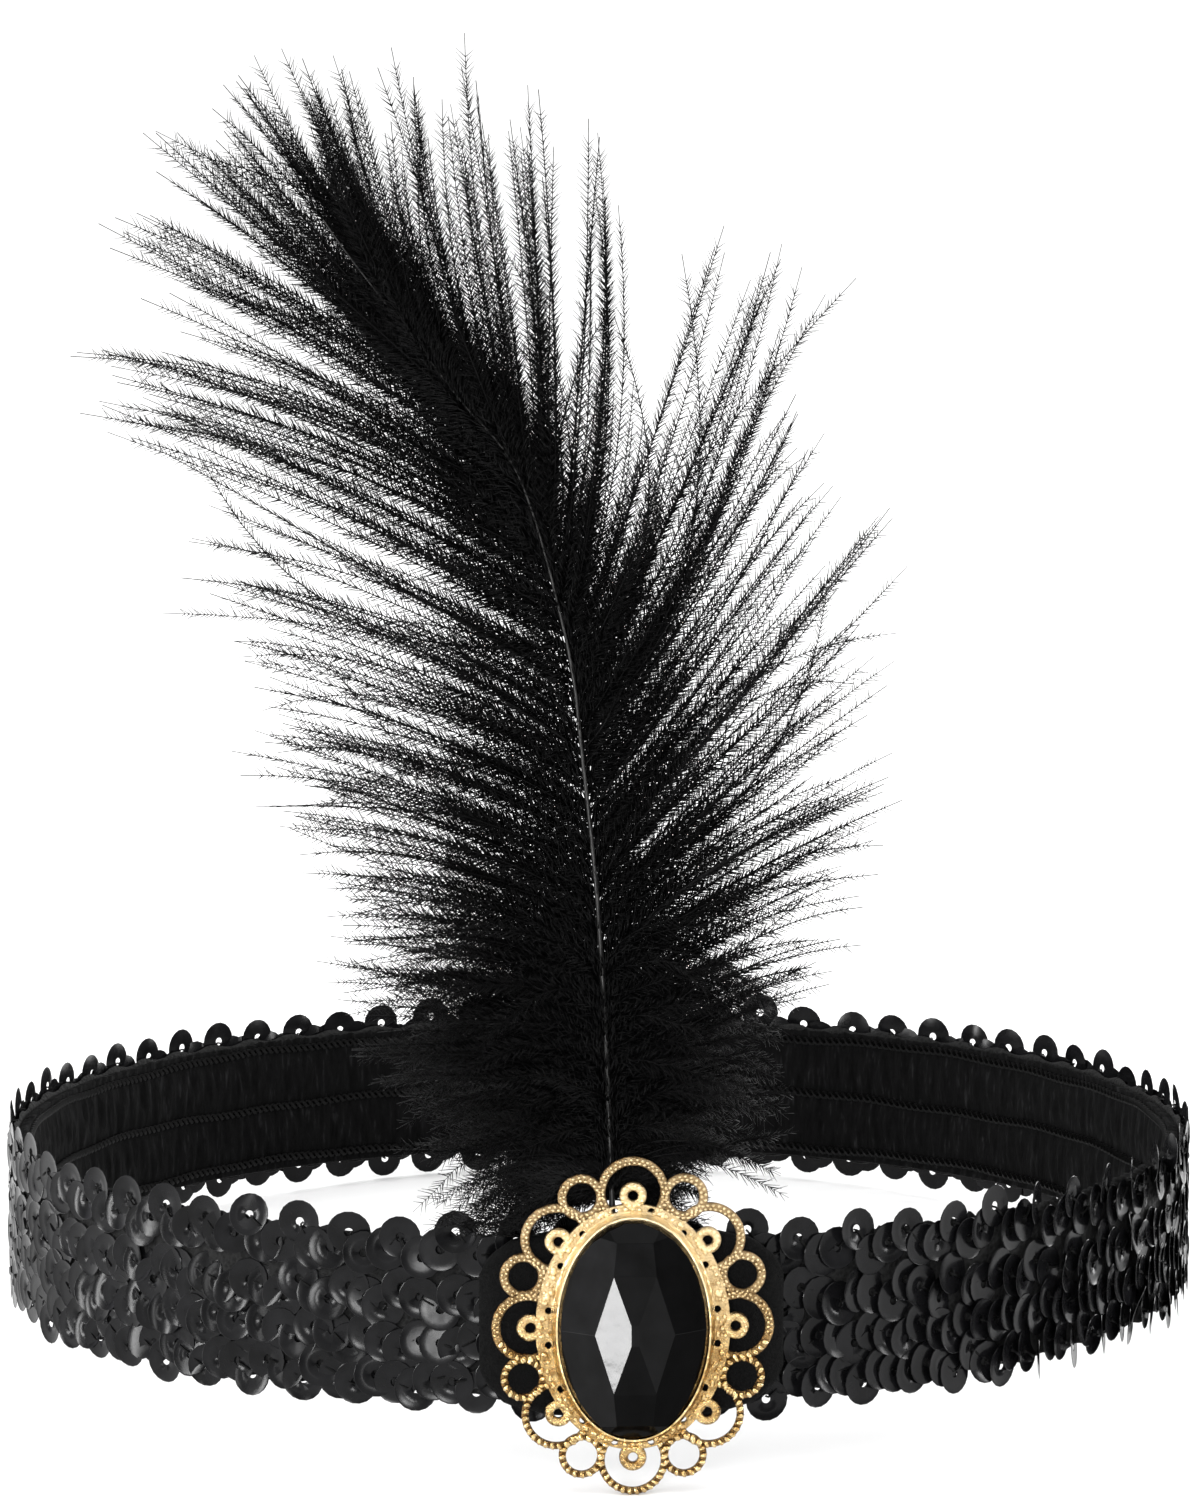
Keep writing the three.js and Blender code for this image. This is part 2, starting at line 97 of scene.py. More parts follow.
class Shape:
    """Points and faces gathered into one mesh."""

    def __init__(self):
        self.points, self.faces, self.count = [], [], 0

    def add(self, points, *faces):
        points = np.asarray(points, float).reshape(-1, 3)
        for f in faces:
            if len(f):
                self.faces.append(np.asarray(f, np.int64) + self.count)
        self.points.append(points)
        self.count += len(points)

    def mesh(self, name):
        me = bpy.data.meshes.new(name)
        co = place(np.concatenate(self.points))
        loops = np.concatenate([f.ravel() for f in self.faces]).astype(np.int32)
        sizes = np.concatenate([np.full(len(f), f.shape[1]) for f in self.faces])
        starts = np.concatenate([[0], np.cumsum(sizes)[:-1]]).astype(np.int32)
        me.vertices.add(len(co))
        me.vertices.foreach_set("co", co.astype(np.float32).ravel())
        me.loops.add(len(loops))
        me.loops.foreach_set("vertex_index", loops)
        me.polygons.add(len(starts))
        me.polygons.foreach_set("loop_start", starts)
        me.update(calc_edges=True)
        me.validate()
        return me


def outward(me):
    """Turns the faces of a closed mesh so that they face out."""
    bm = bmesh.new()
    bm.from_mesh(me)
    bmesh.ops.recalc_face_normals(bm, faces=bm.faces)
    bm.to_mesh(me)
    bm.free()


def add_piece(name, shape, material, nodes=(), smooth=40, turn=True):
    """A piece on the one body. Edges sharper than smooth, in degrees, stay sharp."""
    me = shape.mesh(name) if isinstance(shape, Shape) else shape
    if turn:
        outward(me)
    if smooth:
        me.shade_smooth()
        if smooth < 180:
            me.set_sharp_from_angle(angle=math.radians(smooth))
    me.materials.clear()
    me.materials.append(material)
    ob = bpy.data.objects.new(name, me)
    bpy.context.scene.collection.objects.link(ob)
    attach(ob, "root")
    if nodes:
        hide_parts(*nodes)
    return ob


def grid_faces(rows, columns, loop_rows=False, loop_columns=False):
    i = np.arange(rows if loop_rows else rows - 1)
    j = np.arange(columns if loop_columns else columns - 1)
    i, j = np.meshgrid(i, j, indexing="ij")
    ni, nj = (i + 1) % rows, (j + 1) % columns
    corners = [i * columns + j, ni * columns + j, ni * columns + nj, i * columns + nj]
    return np.stack(corners, -1).reshape(-1, 4)


def tubes(shape, paths, radii, sides, ref, loop=False):
    """Round strands along paths (m, n, 3). ref gives the direction that stays across each strand."""
    paths = np.asarray(paths, float)
    m, n, _ = paths.shape
    radii = np.broadcast_to(radii, (m, n))
    if loop:
        tangent = unit(np.roll(paths, -1, 1) - np.roll(paths, 1, 1))
    else:
        tangent = unit(np.gradient(paths, axis=1))
    ref = np.broadcast_to(ref, paths.shape)
    a = unit(np.cross(tangent, ref))
    b = np.cross(a, tangent)
    turn = np.arange(sides) * TAU / sides
    ring = (
        paths[:, :, None]
        + radii[:, :, None, None] * np.cos(turn)[:, None] * a[:, :, None]
        + radii[:, :, None, None] * np.sin(turn)[:, None] * b[:, :, None]
    )
    quads = grid_faces(n, sides, loop_rows=loop, loop_columns=True)
    starts = np.arange(m)[:, None, None] * n * sides
    faces = [(quads[None] + starts).reshape(-1, 4)]
    if not loop:
        cap = np.arange(sides)
        caps = np.stack([cap[::-1], cap + (n - 1) * sides])
        faces.append((caps[None] + starts).reshape(-1, sides))
    shape.add(ring, *faces)


def needles(shape, roots, tips, width):
    """Closed slivers of four faces, nearly as wide at the tip as at the root, the two ends crosswise."""
    roots, tips = np.asarray(roots), np.asarray(tips)
    along = unit(tips - roots)
    side = unit(np.cross(along, np.array([0.31, 0.93, 0.17])))
    other = np.cross(side, along)
    half = np.broadcast_to(width, len(roots))[:, None] / 2
    across, crosswise = half * side, 0.8 * half * other
    points = np.stack([roots + across, roots - across, tips + crosswise, tips - crosswise], 1)
    tri = np.array([[0, 1, 2], [1, 0, 3], [2, 3, 0], [3, 2, 1]])
    shape.add(points, (tri[None] + np.arange(len(roots))[:, None, None] * 4).reshape(-1, 3))


def swept(shape, path, across, section, loop=True):
    """A section (outward, up) carried along a flat path given in the brooch's plane."""
    path = np.asarray(path, float)
    n, k = len(path), len(section)
    section = np.asarray(section, float)
    points = np.zeros((n, k, 3))
    points[:, :, :2] = path[:, None] + across[:, None] * section[None, :, :1]
    points[:, :, 2] = section[None, :, 1]
    faces = [grid_faces(n, k, loop_rows=loop, loop_columns=True)]
    if not loop:
        cap = np.arange(k)
        faces.append(np.stack([cap[::-1], cap + (n - 1) * k]))
    shape.add(on_front(points.reshape(-1, 3)), *faces)


def on_front(points):
    """The brooch's own x, y and height over its back become a place on the front of the band."""
    p = np.asarray(points, float)
    return np.stack([p[..., 0], -(SETTING_BACK + p[..., 2]), MIDDLE + p[..., 1]], -1)


# Materials


def fill(node, **values):
    """Sets the sockets whose names the keys spell, with _ for a space."""
    for key, value in values.items():
        node.inputs[key.replace("_", " ")].default_value = value


def grey(level, blue=None):
    return (level, level, level if blue is None else blue)


class Nodes:
    """A material and the nodes that its Principled shader is fed by."""

    def __init__(self, name):
        self.material = bpy.data.materials.new(name)
        self.material.use_nodes = True
        self.tree = self.material.node_tree
        self.shader = next(n for n in self.tree.nodes if n.type == "BSDF_PRINCIPLED")

    def new(self, kind, **values):
        node = self.tree.nodes.new(kind)
        for key, value in values.items():
            setattr(node, key, value)
        return node

    def link(self, source, target):
        self.tree.links.new(source, target)

    def coordinates(self, scale=(1, 1, 1)):
        where = self.new("ShaderNodeTexCoord")
        mapping = self.new("ShaderNodeMapping")
        fill(mapping, Scale=scale)
        self.link(where.outputs["Object"], mapping.inputs["Vector"])
        return mapping.outputs["Vector"]

    def noise(self, vector, scale, detail, rough=0.5):
        node = self.new("ShaderNodeTexNoise")
        fill(node, Scale=scale, Detail=detail, Roughness=rough)
        self.link(vector, node.inputs["Vector"])
        return node.outputs["Fac"]

    def ramp(self, source, *stops):
        node = self.new("ShaderNodeValToRGB")
        elements = node.color_ramp.elements
        while len(elements) < len(stops):
            elements.new(0.5)
        for element, (at, colour) in zip(elements, stops):
            element.position = at
            element.color = (*colour, 1)
        self.link(source, node.inputs["Fac"])
        return node.outputs["Color"]

    def spread(self, source, low, high):
        node = self.new("ShaderNodeMapRange")
        fill(node, To_Min=low, To_Max=high)
        self.link(source, node.inputs["Value"])
        return node.outputs["Result"]

    def mix(self, share, first, second):
        """A blend of two colours or sockets. A mixed pair of numbers comes out as a grey."""
        node = self.new("ShaderNodeMix", data_type="RGBA", clamp_factor=True)
        self.link(share, node.inputs["Factor"])
        for value, socket in ((first, node.inputs[6]), (second, node.inputs[7])):
            if isinstance(value, tuple):
                socket.default_value = (*value, 1)
            else:
                self.link(value, socket)
        return node.outputs[2]

    def math(self, operation, first, second, third=None):
        """The first and third are sockets, the second a number."""
        node = self.new("ShaderNodeMath", operation=operation)
        self.link(first, node.inputs[0])
        node.inputs[1].default_value = second
        if third is not None:
            self.link(third, node.inputs[2])
        return node.outputs[0]

    def along(self, way, start, low, high):
        """How far a point lies from a start along a direction, as a share from low to high in metres."""
        where = self.new("ShaderNodeTexCoord")
        dot = self.new("ShaderNodeVectorMath", operation="DOT_PRODUCT")
        dot.inputs[1].default_value = tuple(way)
        self.link(where.outputs["Object"], dot.inputs[0])
        share = self.new("ShaderNodeMapRange")
        zero = float(place([start])[0] @ way)
        fill(share, From_Min=zero + low, From_Max=zero + high)
        self.link(dot.outputs["Value"], share.inputs["Value"])
        return share.outputs["Result"]

    def bump(self, source, strength, distance):
        node = self.new("ShaderNodeBump")
        fill(node, Strength=strength, Distance=distance)
        self.link(source, node.inputs["Height"])
        self.feed(Normal=node.outputs["Normal"])

    def feed(self, **sources):
        """Links sources to the shader's sockets."""
        for key, source in sources.items():
            self.link(source, self.shader.inputs[key.replace("_", " ")])

    def set(self, **values):
        fill(self.shader, **values)


def surface(name, grain, stops, gloss_grain, gloss, relief_grain, relief, **values):
    """A surface whose colour, roughness and relief follow noises. A grain: scale, detail, roughness, stretch."""
    m = Nodes(name)
    noises = []
    for scale, detail, *more in (grain, gloss_grain, relief_grain):
        rough, stretch = more if more else (0.5, 1.0)
        noises.append(m.noise(m.coordinates((1, 1, stretch)), scale, detail, rough))
    m.feed(Base_Color=m.ramp(noises[0], *stops), Roughness=m.spread(noises[1], *gloss))
    m.bump(noises[2], *relief)
    m.set(**values)
    return m.material


def knit_material():
    m = Nodes("trim_net")
    v = m.coordinates()
    cells = m.new("ShaderNodeTexVoronoi")
    fill(cells, Scale=1400.0)
    m.link(v, cells.inputs["Vector"])
    m.feed(Base_Color=m.ramp(cells.outputs["Distance"], (0.0, grey(0.0008)), (0.6, grey(0.008))),
           Roughness=m.spread(m.noise(v, 1800.0, 3.0), 0.7, 0.95))
    m.bump(cells.outputs["Distance"], 0.6, 0.0004)
    m.set(Specular_IOR_Level=0.2)
    return m.material


def gilt_material(name, low, high, pale, rough, relief):
    """Gold that is dark in its hollows, part patina and part painted shade, and paler and more matt over the brooch's
    middle, a painted light falling from above.
    """
    m = Nodes(name)
    v = m.coordinates()
    start = (0.0, -SETTING_BACK, MIDDLE)
    # Patina and painted shade: the gold darkens towards dark brown where it lies low over the back plane
    level = m.along(TURN @ np.array([0.0, -1.0, 0.0]), start, 0.0004, 0.00135)
    # Painted light: the gold turns paler towards the top of the brooch
    painted_light_above = m.along(TURN @ np.array([0.0, 0.0, 1.0]), start, -0.004, 0.01)
    worn = m.noise(v, 620.0, 5.0, 0.7)
    gold = m.mix(m.spread(worn, -0.9, 1.9), low, high)
    gold = m.mix(painted_light_above, gold, m.mix(worn, high, pale))
    patina_and_painted_shade = m.math("MULTIPLY_ADD", worn, 0.5, level)
    m.feed(Base_Color=m.mix(m.spread(patina_and_painted_shade, -0.28, 1.0), (0.1, 0.045, 0.012), gold),
           Roughness=m.mix(painted_light_above, m.spread(m.noise(v, 1100.0, 3.0), *rough), m.spread(worn, 0.3, 0.5)))
    m.bump(m.noise(v, 900.0, 4.0, 0.6), relief, 0.0009)
    m.set(Metallic=1.0)
    return m.material


def stone_material():
    """Near-black gloss whose colour and gloss follow the painted reflection that each facet is given."""
    m = Nodes("faceted_jet")
    v = m.coordinates()
    cloud = m.noise(v, 300.0, 3.0)
    # Painted reflections: each facet's base colour and specular level follow the tone that it is given
    facet = m.new("ShaderNodeAttribute", attribute_name="facet_painted_reflection")
    blend = m.new("ShaderNodeMix", data_type="RGBA", blend_type="MULTIPLY")
    fill(blend, Factor=1.0)
    m.link(facet.outputs["Color"], blend.inputs[6])
    m.link(m.ramp(cloud, (0.3, grey(0.6)), (0.7, grey(1.0, 1.04))), blend.inputs[7])
    m.feed(Base_Color=blend.outputs[2], Roughness=m.spread(m.noise(v, 800.0, 3.0), 0.05, 0.12))
    m.bump(m.noise(v, 420.0, 3.0), 0.06, 0.0004)
    m.feed(Specular_IOR_Level=m.math("MULTIPLY", facet.outputs["Fac"], 13.0))
    return m.material


def floor_material():
    m = Nodes("pale_floor")
    m.feed(Base_Color=m.ramp(m.noise(m.coordinates(), 3.0, 2.0), (0.3, grey(0.93)), (0.7, grey(0.95))))
    m.set(Roughness=0.9, Specular_IOR_Level=0.0)
    return m.material


FIBRES = (3200, 5, 0.7, 1.0)
STREAKS = (2200, 3, 0.5, 0.08)
SEQUIN = surface("sequin_film", (260, 2), [(0.3, grey(0.0018, 0.002)), (0.75, grey(0.0065, 0.0072))],
                 (900, 3), (0.15, 0.27), (480, 1), (0.05, 0.0004), Specular_IOR_Level=0.125)
THREAD = surface("black_thread", (4000, 2), [(0.3, grey(0.0005)), (0.8, grey(0.0045))],
                 (2500, 2), (0.3, 0.8), (5000, 2), (0.4, 0.0001), Specular_IOR_Level=0.1)
KNIT = knit_material()
ELASTIC = surface("gathered_elastic", (1500, 3, 0.5, 0.16),
                  [(0.3, grey(0.0005)), (0.6, grey(0.0022, 0.0023)), (0.78, grey(0.013, 0.0135))],
                  (1200, 3), (0.65, 0.95), (2600, 3, 0.5, 0.3), (0.5, 0.0003),
                  Specular_IOR_Level=0.05, Sheen_Weight=0.005, Sheen_Roughness=0.6)
FELT = surface("black_felt", FIBRES, [(0.3, grey(0.001)), (0.8, grey(0.009))], FIBRES, (0.8, 1.0), FIBRES,
               (0.7, 0.0005), Specular_IOR_Level=0.06, Sheen_Weight=0.01, Sheen_Roughness=0.5)
GILT = gilt_material("gilt_plate", (0.27, 0.14, 0.035), (0.74, 0.55, 0.26), (0.74, 0.6, 0.39), (0.1, 0.26), 0.9)
GILT_RIM = gilt_material("gilt_rim", (0.36, 0.21, 0.06), (0.88, 0.7, 0.38), (0.84, 0.7, 0.48), (0.08, 0.2), 0.4)
STONE = stone_material()
BARB = surface("dyed_barbs", (1600, 3),
               [(0.3, grey(0.0005)), (0.7, grey(0.0024, 0.0026)), (0.85, grey(0.009, 0.0095))],
               (900, 2), (0.35, 0.6), (4000, 2), (0.2, 0.0001), Specular_IOR_Level=0.1)
SHAFT = surface("plume_shaft", STREAKS, [(0.3, grey(0.006)), (0.75, (0.035, 0.034, 0.033))],
                STREAKS, (0.3, 0.5), STREAKS, (0.3, 0.0002), Specular_IOR_Level=0.4)

# Sequins

# Heights of the three sequins of each zigzag period over the band's edge, for each string
STRINGS = [(26.3, 22.9, 23.5), (17.7, 16.6, 15.3), (9.8, 11.6, 10.6), (3.2, 6.0, 5.1)]
SEQUIN_SIDES = 18
# Radius and level over the sewn side, for the upper face from the hole out and back underneath
SEQUIN_PROFILE = [(0.6, 0.03), (0.68, 0.13), (1.9, 0.12), (2.74, 0.12), (2.92, 0.15), (3.0, 0.08), (1.9, 0.0)]
# Radius of the sequins' sewn sides, and how far a sequin past either edge is from the middle
SEWN_RADIUS = 89.05
STANDING_FROM = 11.0
# The bottom string is shifted near the front: by how many periods and over what angle
FRONT_SHIFT, FRONT_REACH = 0.42, 0.42
# Chance in the angle and height of a sequin, and in its tilt and nod in degrees
ANGLE_CHANCE, HEIGHT_CHANCE = 0.0028, 0.34
TILT_CHANCE, NOD_CHANCE = 3.2, 3.4
# Share of odd sequins, and their further tilt and nod in degrees
ODD_SHARE, ODD_TILT, ODD_NOD = 0.07, 9, 8
# Beyond this angle the band turns away. There and on the left the sequins lie calmer.
SIDE_ON = 1.1
CALM_FAR_LEFT, CALM_LEFT = 0.3, 0.6
# Nod in degrees that turns a sequin on the left up to the lamp
LIT_NOD = -11.5
# Left of the brooch some sequins catch the front lamp: where, what share, and how they stand
CAUGHT_FROM, CAUGHT_TO, CAUGHT_SHARE = -0.5, -0.29, 0.3
CAUGHT_FACING, CAUGHT_NOD = -0.175, -0.18


def lift(angle):
    """How far the left edge of a sequin stands up, in degrees, and how far the pad covers it."""
    degrees = np.degrees(angle)
    right = np.clip((degrees - 12) / 35, 0, 1) * np.clip((175 - degrees) / 40, 0, 1)
    left = np.clip((-degrees - 12) / 20, 0, 1)
    under_pad = np.clip(1.25 - np.abs(angle) / PAD_HALF_ANGLE, 0, 0.25) * 4
    flush = np.clip((87 - np.abs(degrees)) * 0.31, 2, 90)
    return np.minimum(9 + 7 * right - 1.5 * left, flush) * (1 - under_pad) + 2.5 * under_pad, under_pad


def sequin_string(number):
    """One zigzag string round the band, and the places of its sequins for the stitches."""
    heights = np.tile(STRINGS[number], PERIODS)
    count = len(heights)
    step = TAU / count
    angle = np.arange(count) * step
    angle = (angle + math.pi) % TAU - math.pi
    if number == len(STRINGS) - 1:
        angle = angle + FRONT_SHIFT * TAU / PERIODS * np.exp(-(angle / FRONT_REACH) ** 2)
    angle = angle + rng.normal(0, ANGLE_CHANCE, count)
    height = heights + rng.normal(0, HEIGHT_CHANCE, count)
    stands = np.abs(heights - MIDDLE) > STANDING_FROM
    drawn_in = 1 - 0.05 * np.abs(rng.normal(0, 1, count))
    height = np.where(stands, MIDDLE + (height - MIDDLE) * drawn_in, height)
    tilt, covered = lift(angle)
    odd = rng.random(count) < ODD_SHARE
    calm = np.where(angle < -SIDE_ON, CALM_FAR_LEFT, np.where(angle < 0, CALM_LEFT, 1.0))
    odd &= angle > -SIDE_ON
    chance = rng.normal(0, TILT_CHANCE, count) * calm + odd * rng.normal(0, ODD_TILT, count)
    tilt = np.radians(tilt + chance * (1 - covered))
    tilt = np.where(np.abs(angle) > SIDE_ON, np.clip(tilt, -0.05, 0.2), tilt)
    # On the left half of the sequins are rolled towards the lamp, and all are bent across
    rolled = np.clip((-angle - 0.35) / 0.2, 0, 1) * np.clip((angle + 1.15) / 0.15, 0, 1)
    nod = rng.normal(0, NOD_CHANCE, count) * calm
    nod = nod + rng.normal(LIT_NOD, 3, count) * rolled * (rng.random(count) < 0.5)
    nod = np.radians(nod + odd * rng.normal(0, ODD_NOD, count)) * (1 - covered)
    # At the right turn the standing ones are seen edge on
    tilt = tilt + stands * (angle > 0.65) * (angle < 1.25) * rng.uniform(0, 0.5, count)
    caught = (rng.random(count) < CAUGHT_SHARE) & (angle > CAUGHT_FROM) & (angle < CAUGHT_TO) & ~stands
    tilt = np.where(caught, CAUGHT_FACING - angle + rng.normal(0, 0.03, count), tilt)
    nod = np.where(caught, CAUGHT_NOD + rng.normal(0, 0.02, count), nod)
    radius = SEWN_RADIUS + 0.7 * np.sin(tilt) - 0.1 * covered + rng.uniform(0, 0.16, count)
    centre = around(radius, angle, height)
    normal = around(1.0, angle, 0 * angle)
    right = np.stack([np.cos(angle), np.sin(angle), 0 * angle], -1)
    up = np.zeros_like(right)
    up[:, 2] = 1
    lean = np.cos(tilt)[:, None] * right - np.sin(tilt)[:, None] * normal
    face = np.cos(tilt)[:, None] * normal + np.sin(tilt)[:, None] * right
    tall = np.cos(nod)[:, None] * up + np.sin(nod)[:, None] * face
    face = np.cos(nod)[:, None] * face - np.sin(nod)[:, None] * up
    turn = np.arange(SEQUIN_SIDES) * TAU / SEQUIN_SIDES
    ring = np.array([[r * math.cos(t), r * math.sin(t), h, r] for t in turn for r, h in SEQUIN_PROFILE])
    size = rng.uniform(0.98, 1.05, count)
    cup = rng.uniform(0.03, 0.3, count) * np.where(caught, 1, 1 - 0.8 * rolled)
    bend_way = rng.uniform(0, math.pi, count) * (1 - rolled) + rng.normal(0, 0.2, count) * rolled
    bend = rng.normal(0, 0.09, count) * calm + odd * rng.normal(0, 0.3, count)
    bend = bend + rng.uniform(0.1, 0.45, count) * rolled
    x = ring[:, 0] * size[:, None]
    y = ring[:, 1] * size[:, None]
    share = ring[:, 3] / SEQUIN_RADIUS
    fold = (x * np.cos(bend_way)[:, None] + y * np.sin(bend_way)[:, None]) / SEQUIN_RADIUS
    level = ring[:, 2] + cup[:, None] * share ** 2 + (bend * (1 - covered))[:, None] * fold ** 2
    points = centre[:, None] + x[..., None] * lean[:, None] + y[..., None] * tall[:, None]
    points = points + level[..., None] * face[:, None]
    k = len(SEQUIN_PROFILE)
    quads = grid_faces(SEQUIN_SIDES, k, loop_rows=True, loop_columns=True)
    faces = (quads[None] + np.arange(count)[:, None, None] * len(ring)).reshape(-1, 4)
    shape = Shape()
    shape.add(points, faces)
    return shape, (centre, tall, face)


threads = Shape()
sewn = []
for number in range(len(STRINGS)):
    shape, places = sequin_string(number)
    add_piece(f"sequins_string_{number + 1}", shape, SEQUIN, ["sequin_trim"], smooth=50)
    sewn.append(places)

# A stitch comes up through each hole and goes down over the edge towards the next sequin. Its points:
# millimetres along, share of the way to the edge, and height over the sewn side.
STITCH = [(0.28, 0, -0.7), (0.34, 0, 0.08), (0.52, 0.12, 0.36), (0.55, 0.45, 0.42), (0.5, 0.85, 0.44),
          (0.5, 1.0, 0.2)]
THREAD_RADIUS = 0.18
for centre, tall, face in sewn:
    count = len(centre)
    way = unit(np.roll(centre, -1, 0) - centre)
    swing = rng.normal(0, 0.25, count)[:, None]
    across = unit(way + swing * tall)
    across = unit(across - (across * face).sum(-1, keepdims=True) * face)
    reach = rng.uniform(1.7, 2.7, count)
    path = np.stack([centre + across * (a + s * (reach - 0.5))[:, None] + face * h for a, s, h in STITCH], 1)
    tubes(threads, path, THREAD_RADIUS, 3, face[:, None] + 0.01)
add_piece("sequin_stitches", threads, THREAD, smooth=60)

# Knitted net that carries the strings, puckered by them
net = Shape()
columns = PERIODS * 10
angle = np.arange(columns) * TAU / columns
# Radius and height of the rows of its section: two on the back, one on the top edge, the rest on the face
rows = [(88.25, 3.6), (88.25, 25.0), (88.75, 25.4), (88.95, 24.0), (88.7, 20.0), (88.95, 17.0), (88.7, 14.0),
        (88.95, 11.4), (88.7, 8.6), (88.9, 5.6), (88.7, 3.4)]
ripple = 0.1 * np.sin(angle * PERIODS * 3)[:, None] + rng.normal(0, 0.04, (columns, len(rows)))
radius = np.array([r for r, _ in rows])[None] + np.where(np.arange(len(rows)) < 2, 0, 1)[None] * ripple
edge = 0.35 * np.sin(angle * PERIODS)[:, None] * np.array([1, 1, 1] + [0] * 7 + [1])[None]
net.add(around(radius, angle[:, None], np.array([z for _, z in rows])[None] + edge),
        grid_faces(columns, len(rows), loop_rows=True, loop_columns=True))
add_piece("trim_net", net, KNIT, smooth=60)

# Elastic

GATHERS = 330
FOLD_WAVES = 9
SEAM_LEVELS = (5.6, MIDDLE, 23.8)
TWISTS = 236
STRAND_RADIUS = 0.3


def elastic():
    """Gathers of many widths that change at each seam, over the smooth wall of the elastic."""
    n = GATHERS * 3
    angle = np.arange(n) * TAU / n
    levels = np.linspace(ELASTIC_LOW + 0.3, ELASTIC_HIGH - 0.3, 19)
    pull = np.min(np.abs(levels[:, None] - np.array(SEAM_LEVELS)[None]), 1)
    puff = np.clip(pull / 3.2, 0, 1) ** 0.7
    between = np.searchsorted(np.array(SEAM_LEVELS), levels)
    folds = np.zeros((n, len(levels)))
    for _ in range(FOLD_WAVES):
        turns = rng.integers(GATHERS // 4, GATHERS, 4)[between]
        start = rng.uniform(0, TAU, 4)[between]
        slope = rng.normal(0, 0.4, 4)[between]
        folds += np.cos(angle[:, None] * turns[None] + start[None] + (slope * levels)[None])
    crease = np.clip(0.5 + folds / 6, 0, 1)
    radius = HEAD_RADIUS + 0.85 - 0.22 * puff[None] - (0.15 + 0.48 * puff[None]) * crease
    from_front = np.abs((angle + math.pi) % TAU - math.pi)[:, None]
    seat = from_front < math.asin(SEAT_HALF_WIDTH / HEAD_RADIUS)
    radius = np.where(seat, np.maximum(radius, HEAD_RADIUS / np.cos(np.minimum(from_front, 0.2))), radius)
    radius = radius + rng.normal(0, 0.02, radius.shape)
    frill = rng.normal(0, 0.12, n) + 0.14 * folds[:, -1] / 3
    top_row = np.where(np.arange(len(levels)) == len(levels) - 1, 1, 0)
    inner = around(radius, angle[:, None], levels[None] + top_row[None] * frill[:, None])
    low = around(HEAD_RADIUS + 1.0, angle, ELASTIC_LOW)[:, None]
    high = around(HEAD_RADIUS + 1.0, angle, ELASTIC_HIGH - 0.25 + frill)[:, None]
    outer = [around(HEAD_RADIUS + ELASTIC_WALL, angle, z)[:, None] for z in (ELASTIC_HIGH - 0.5, ELASTIC_LOW + 0.3)]
    points = np.concatenate([low, inner, high, *outer], 1)
    shape = Shape()
    shape.add(points, grid_faces(n, points.shape[1], loop_rows=True, loop_columns=True))
    return shape


add_piece("gathered_elastic", elastic(), ELASTIC, ["elastic_band"], smooth=180)


def seam(level):
    """Two strands twisted round each other, the chain of a sewn seam."""
    shape = Shape()
    n = TWISTS * 6
    angle = np.arange(n) * TAU / n
    drift = 0.22 * np.sin(angle * 9 + level) + 0.12 * np.sin(angle * 31 + 2 * level)
    for start in (0, math.pi):
        turn = angle * TWISTS + start
        radius = HEAD_RADIUS + 0.28 - 0.2 * np.cos(turn)
        z = level + drift + 0.5 * np.sin(turn)
        radial = around(1.0, angle, 0 * angle)
        tubes(shape, around(radius, angle, z)[None], STRAND_RADIUS, 3, radial[None], loop=True)
    return shape


for number, level in enumerate(SEAM_LEVELS):
    add_piece(f"seam_{number + 1}", seam(level), THREAD, smooth=60)

# Felt

# Outline of the pad: share of its half width, share of its half height
PAD_OUTLINE = [(-1, 0.5), (-0.94, 0.7), (-0.8, 0.88), (-0.55, 0.98), (0, 1), (0.55, 0.98), (0.8, 0.88), (0.94, 0.7),
               (1, 0.5)]
GROOVE_LENGTH, GROOVE_DEPTH = 16, 1.45


def pad():
    """The pad with a rounded edge and the quill's groove in its front."""
    across = np.sin(np.linspace(-1, 1, 49) * math.pi / 2)
    tall = PAD_HALF_HEIGHT * np.interp(across, *zip(*PAD_OUTLINE))
    up = np.sin(np.linspace(-1, 1, 33) * math.pi / 2)
    a = (PAD_HALF_ANGLE * across)[:, None] + 0 * up
    z = MIDDLE + tall[:, None] * up[None]
    edge = np.clip(np.minimum(1 - np.abs(across)[:, None], 1 - np.abs(up)[None]) * 12, 0, 1) ** 0.5
    groove = np.exp(-(((PAD_INNER * np.sin(a) - QUILL_X) / 0.9) ** 2) * 2)
    groove = groove * (z > MIDDLE + PAD_HALF_HEIGHT - GROOVE_LENGTH)
    front = PAD_OUTER - 0.5 * (1 - edge) + rng.normal(0, 0.03, a.shape) - GROOVE_DEPTH * groove * edge
    back = PAD_INNER + 0.25 * (1 - edge)
    faces = grid_faces(len(across), len(up))
    shape = Shape()
    front_points, back_points = around(front, a, z), around(back, a, z)
    size = a.size
    index = np.arange(size).reshape(a.shape)
    border = np.concatenate([index[:-1, 0], index[-1, :-1], index[:0:-1, -1], index[0, :0:-1]])
    following = np.roll(border, -1)
    wall = np.stack([border, following, following + size, border + size], -1)
    both = np.concatenate([front_points.reshape(-1, 3), back_points.reshape(-1, 3)])
    shape.add(both, faces, faces[:, ::-1] + size, wall)
    return shape


add_piece("felt_pad", pad(), FELT, ["backing_pad"], smooth=60)

# Brooch

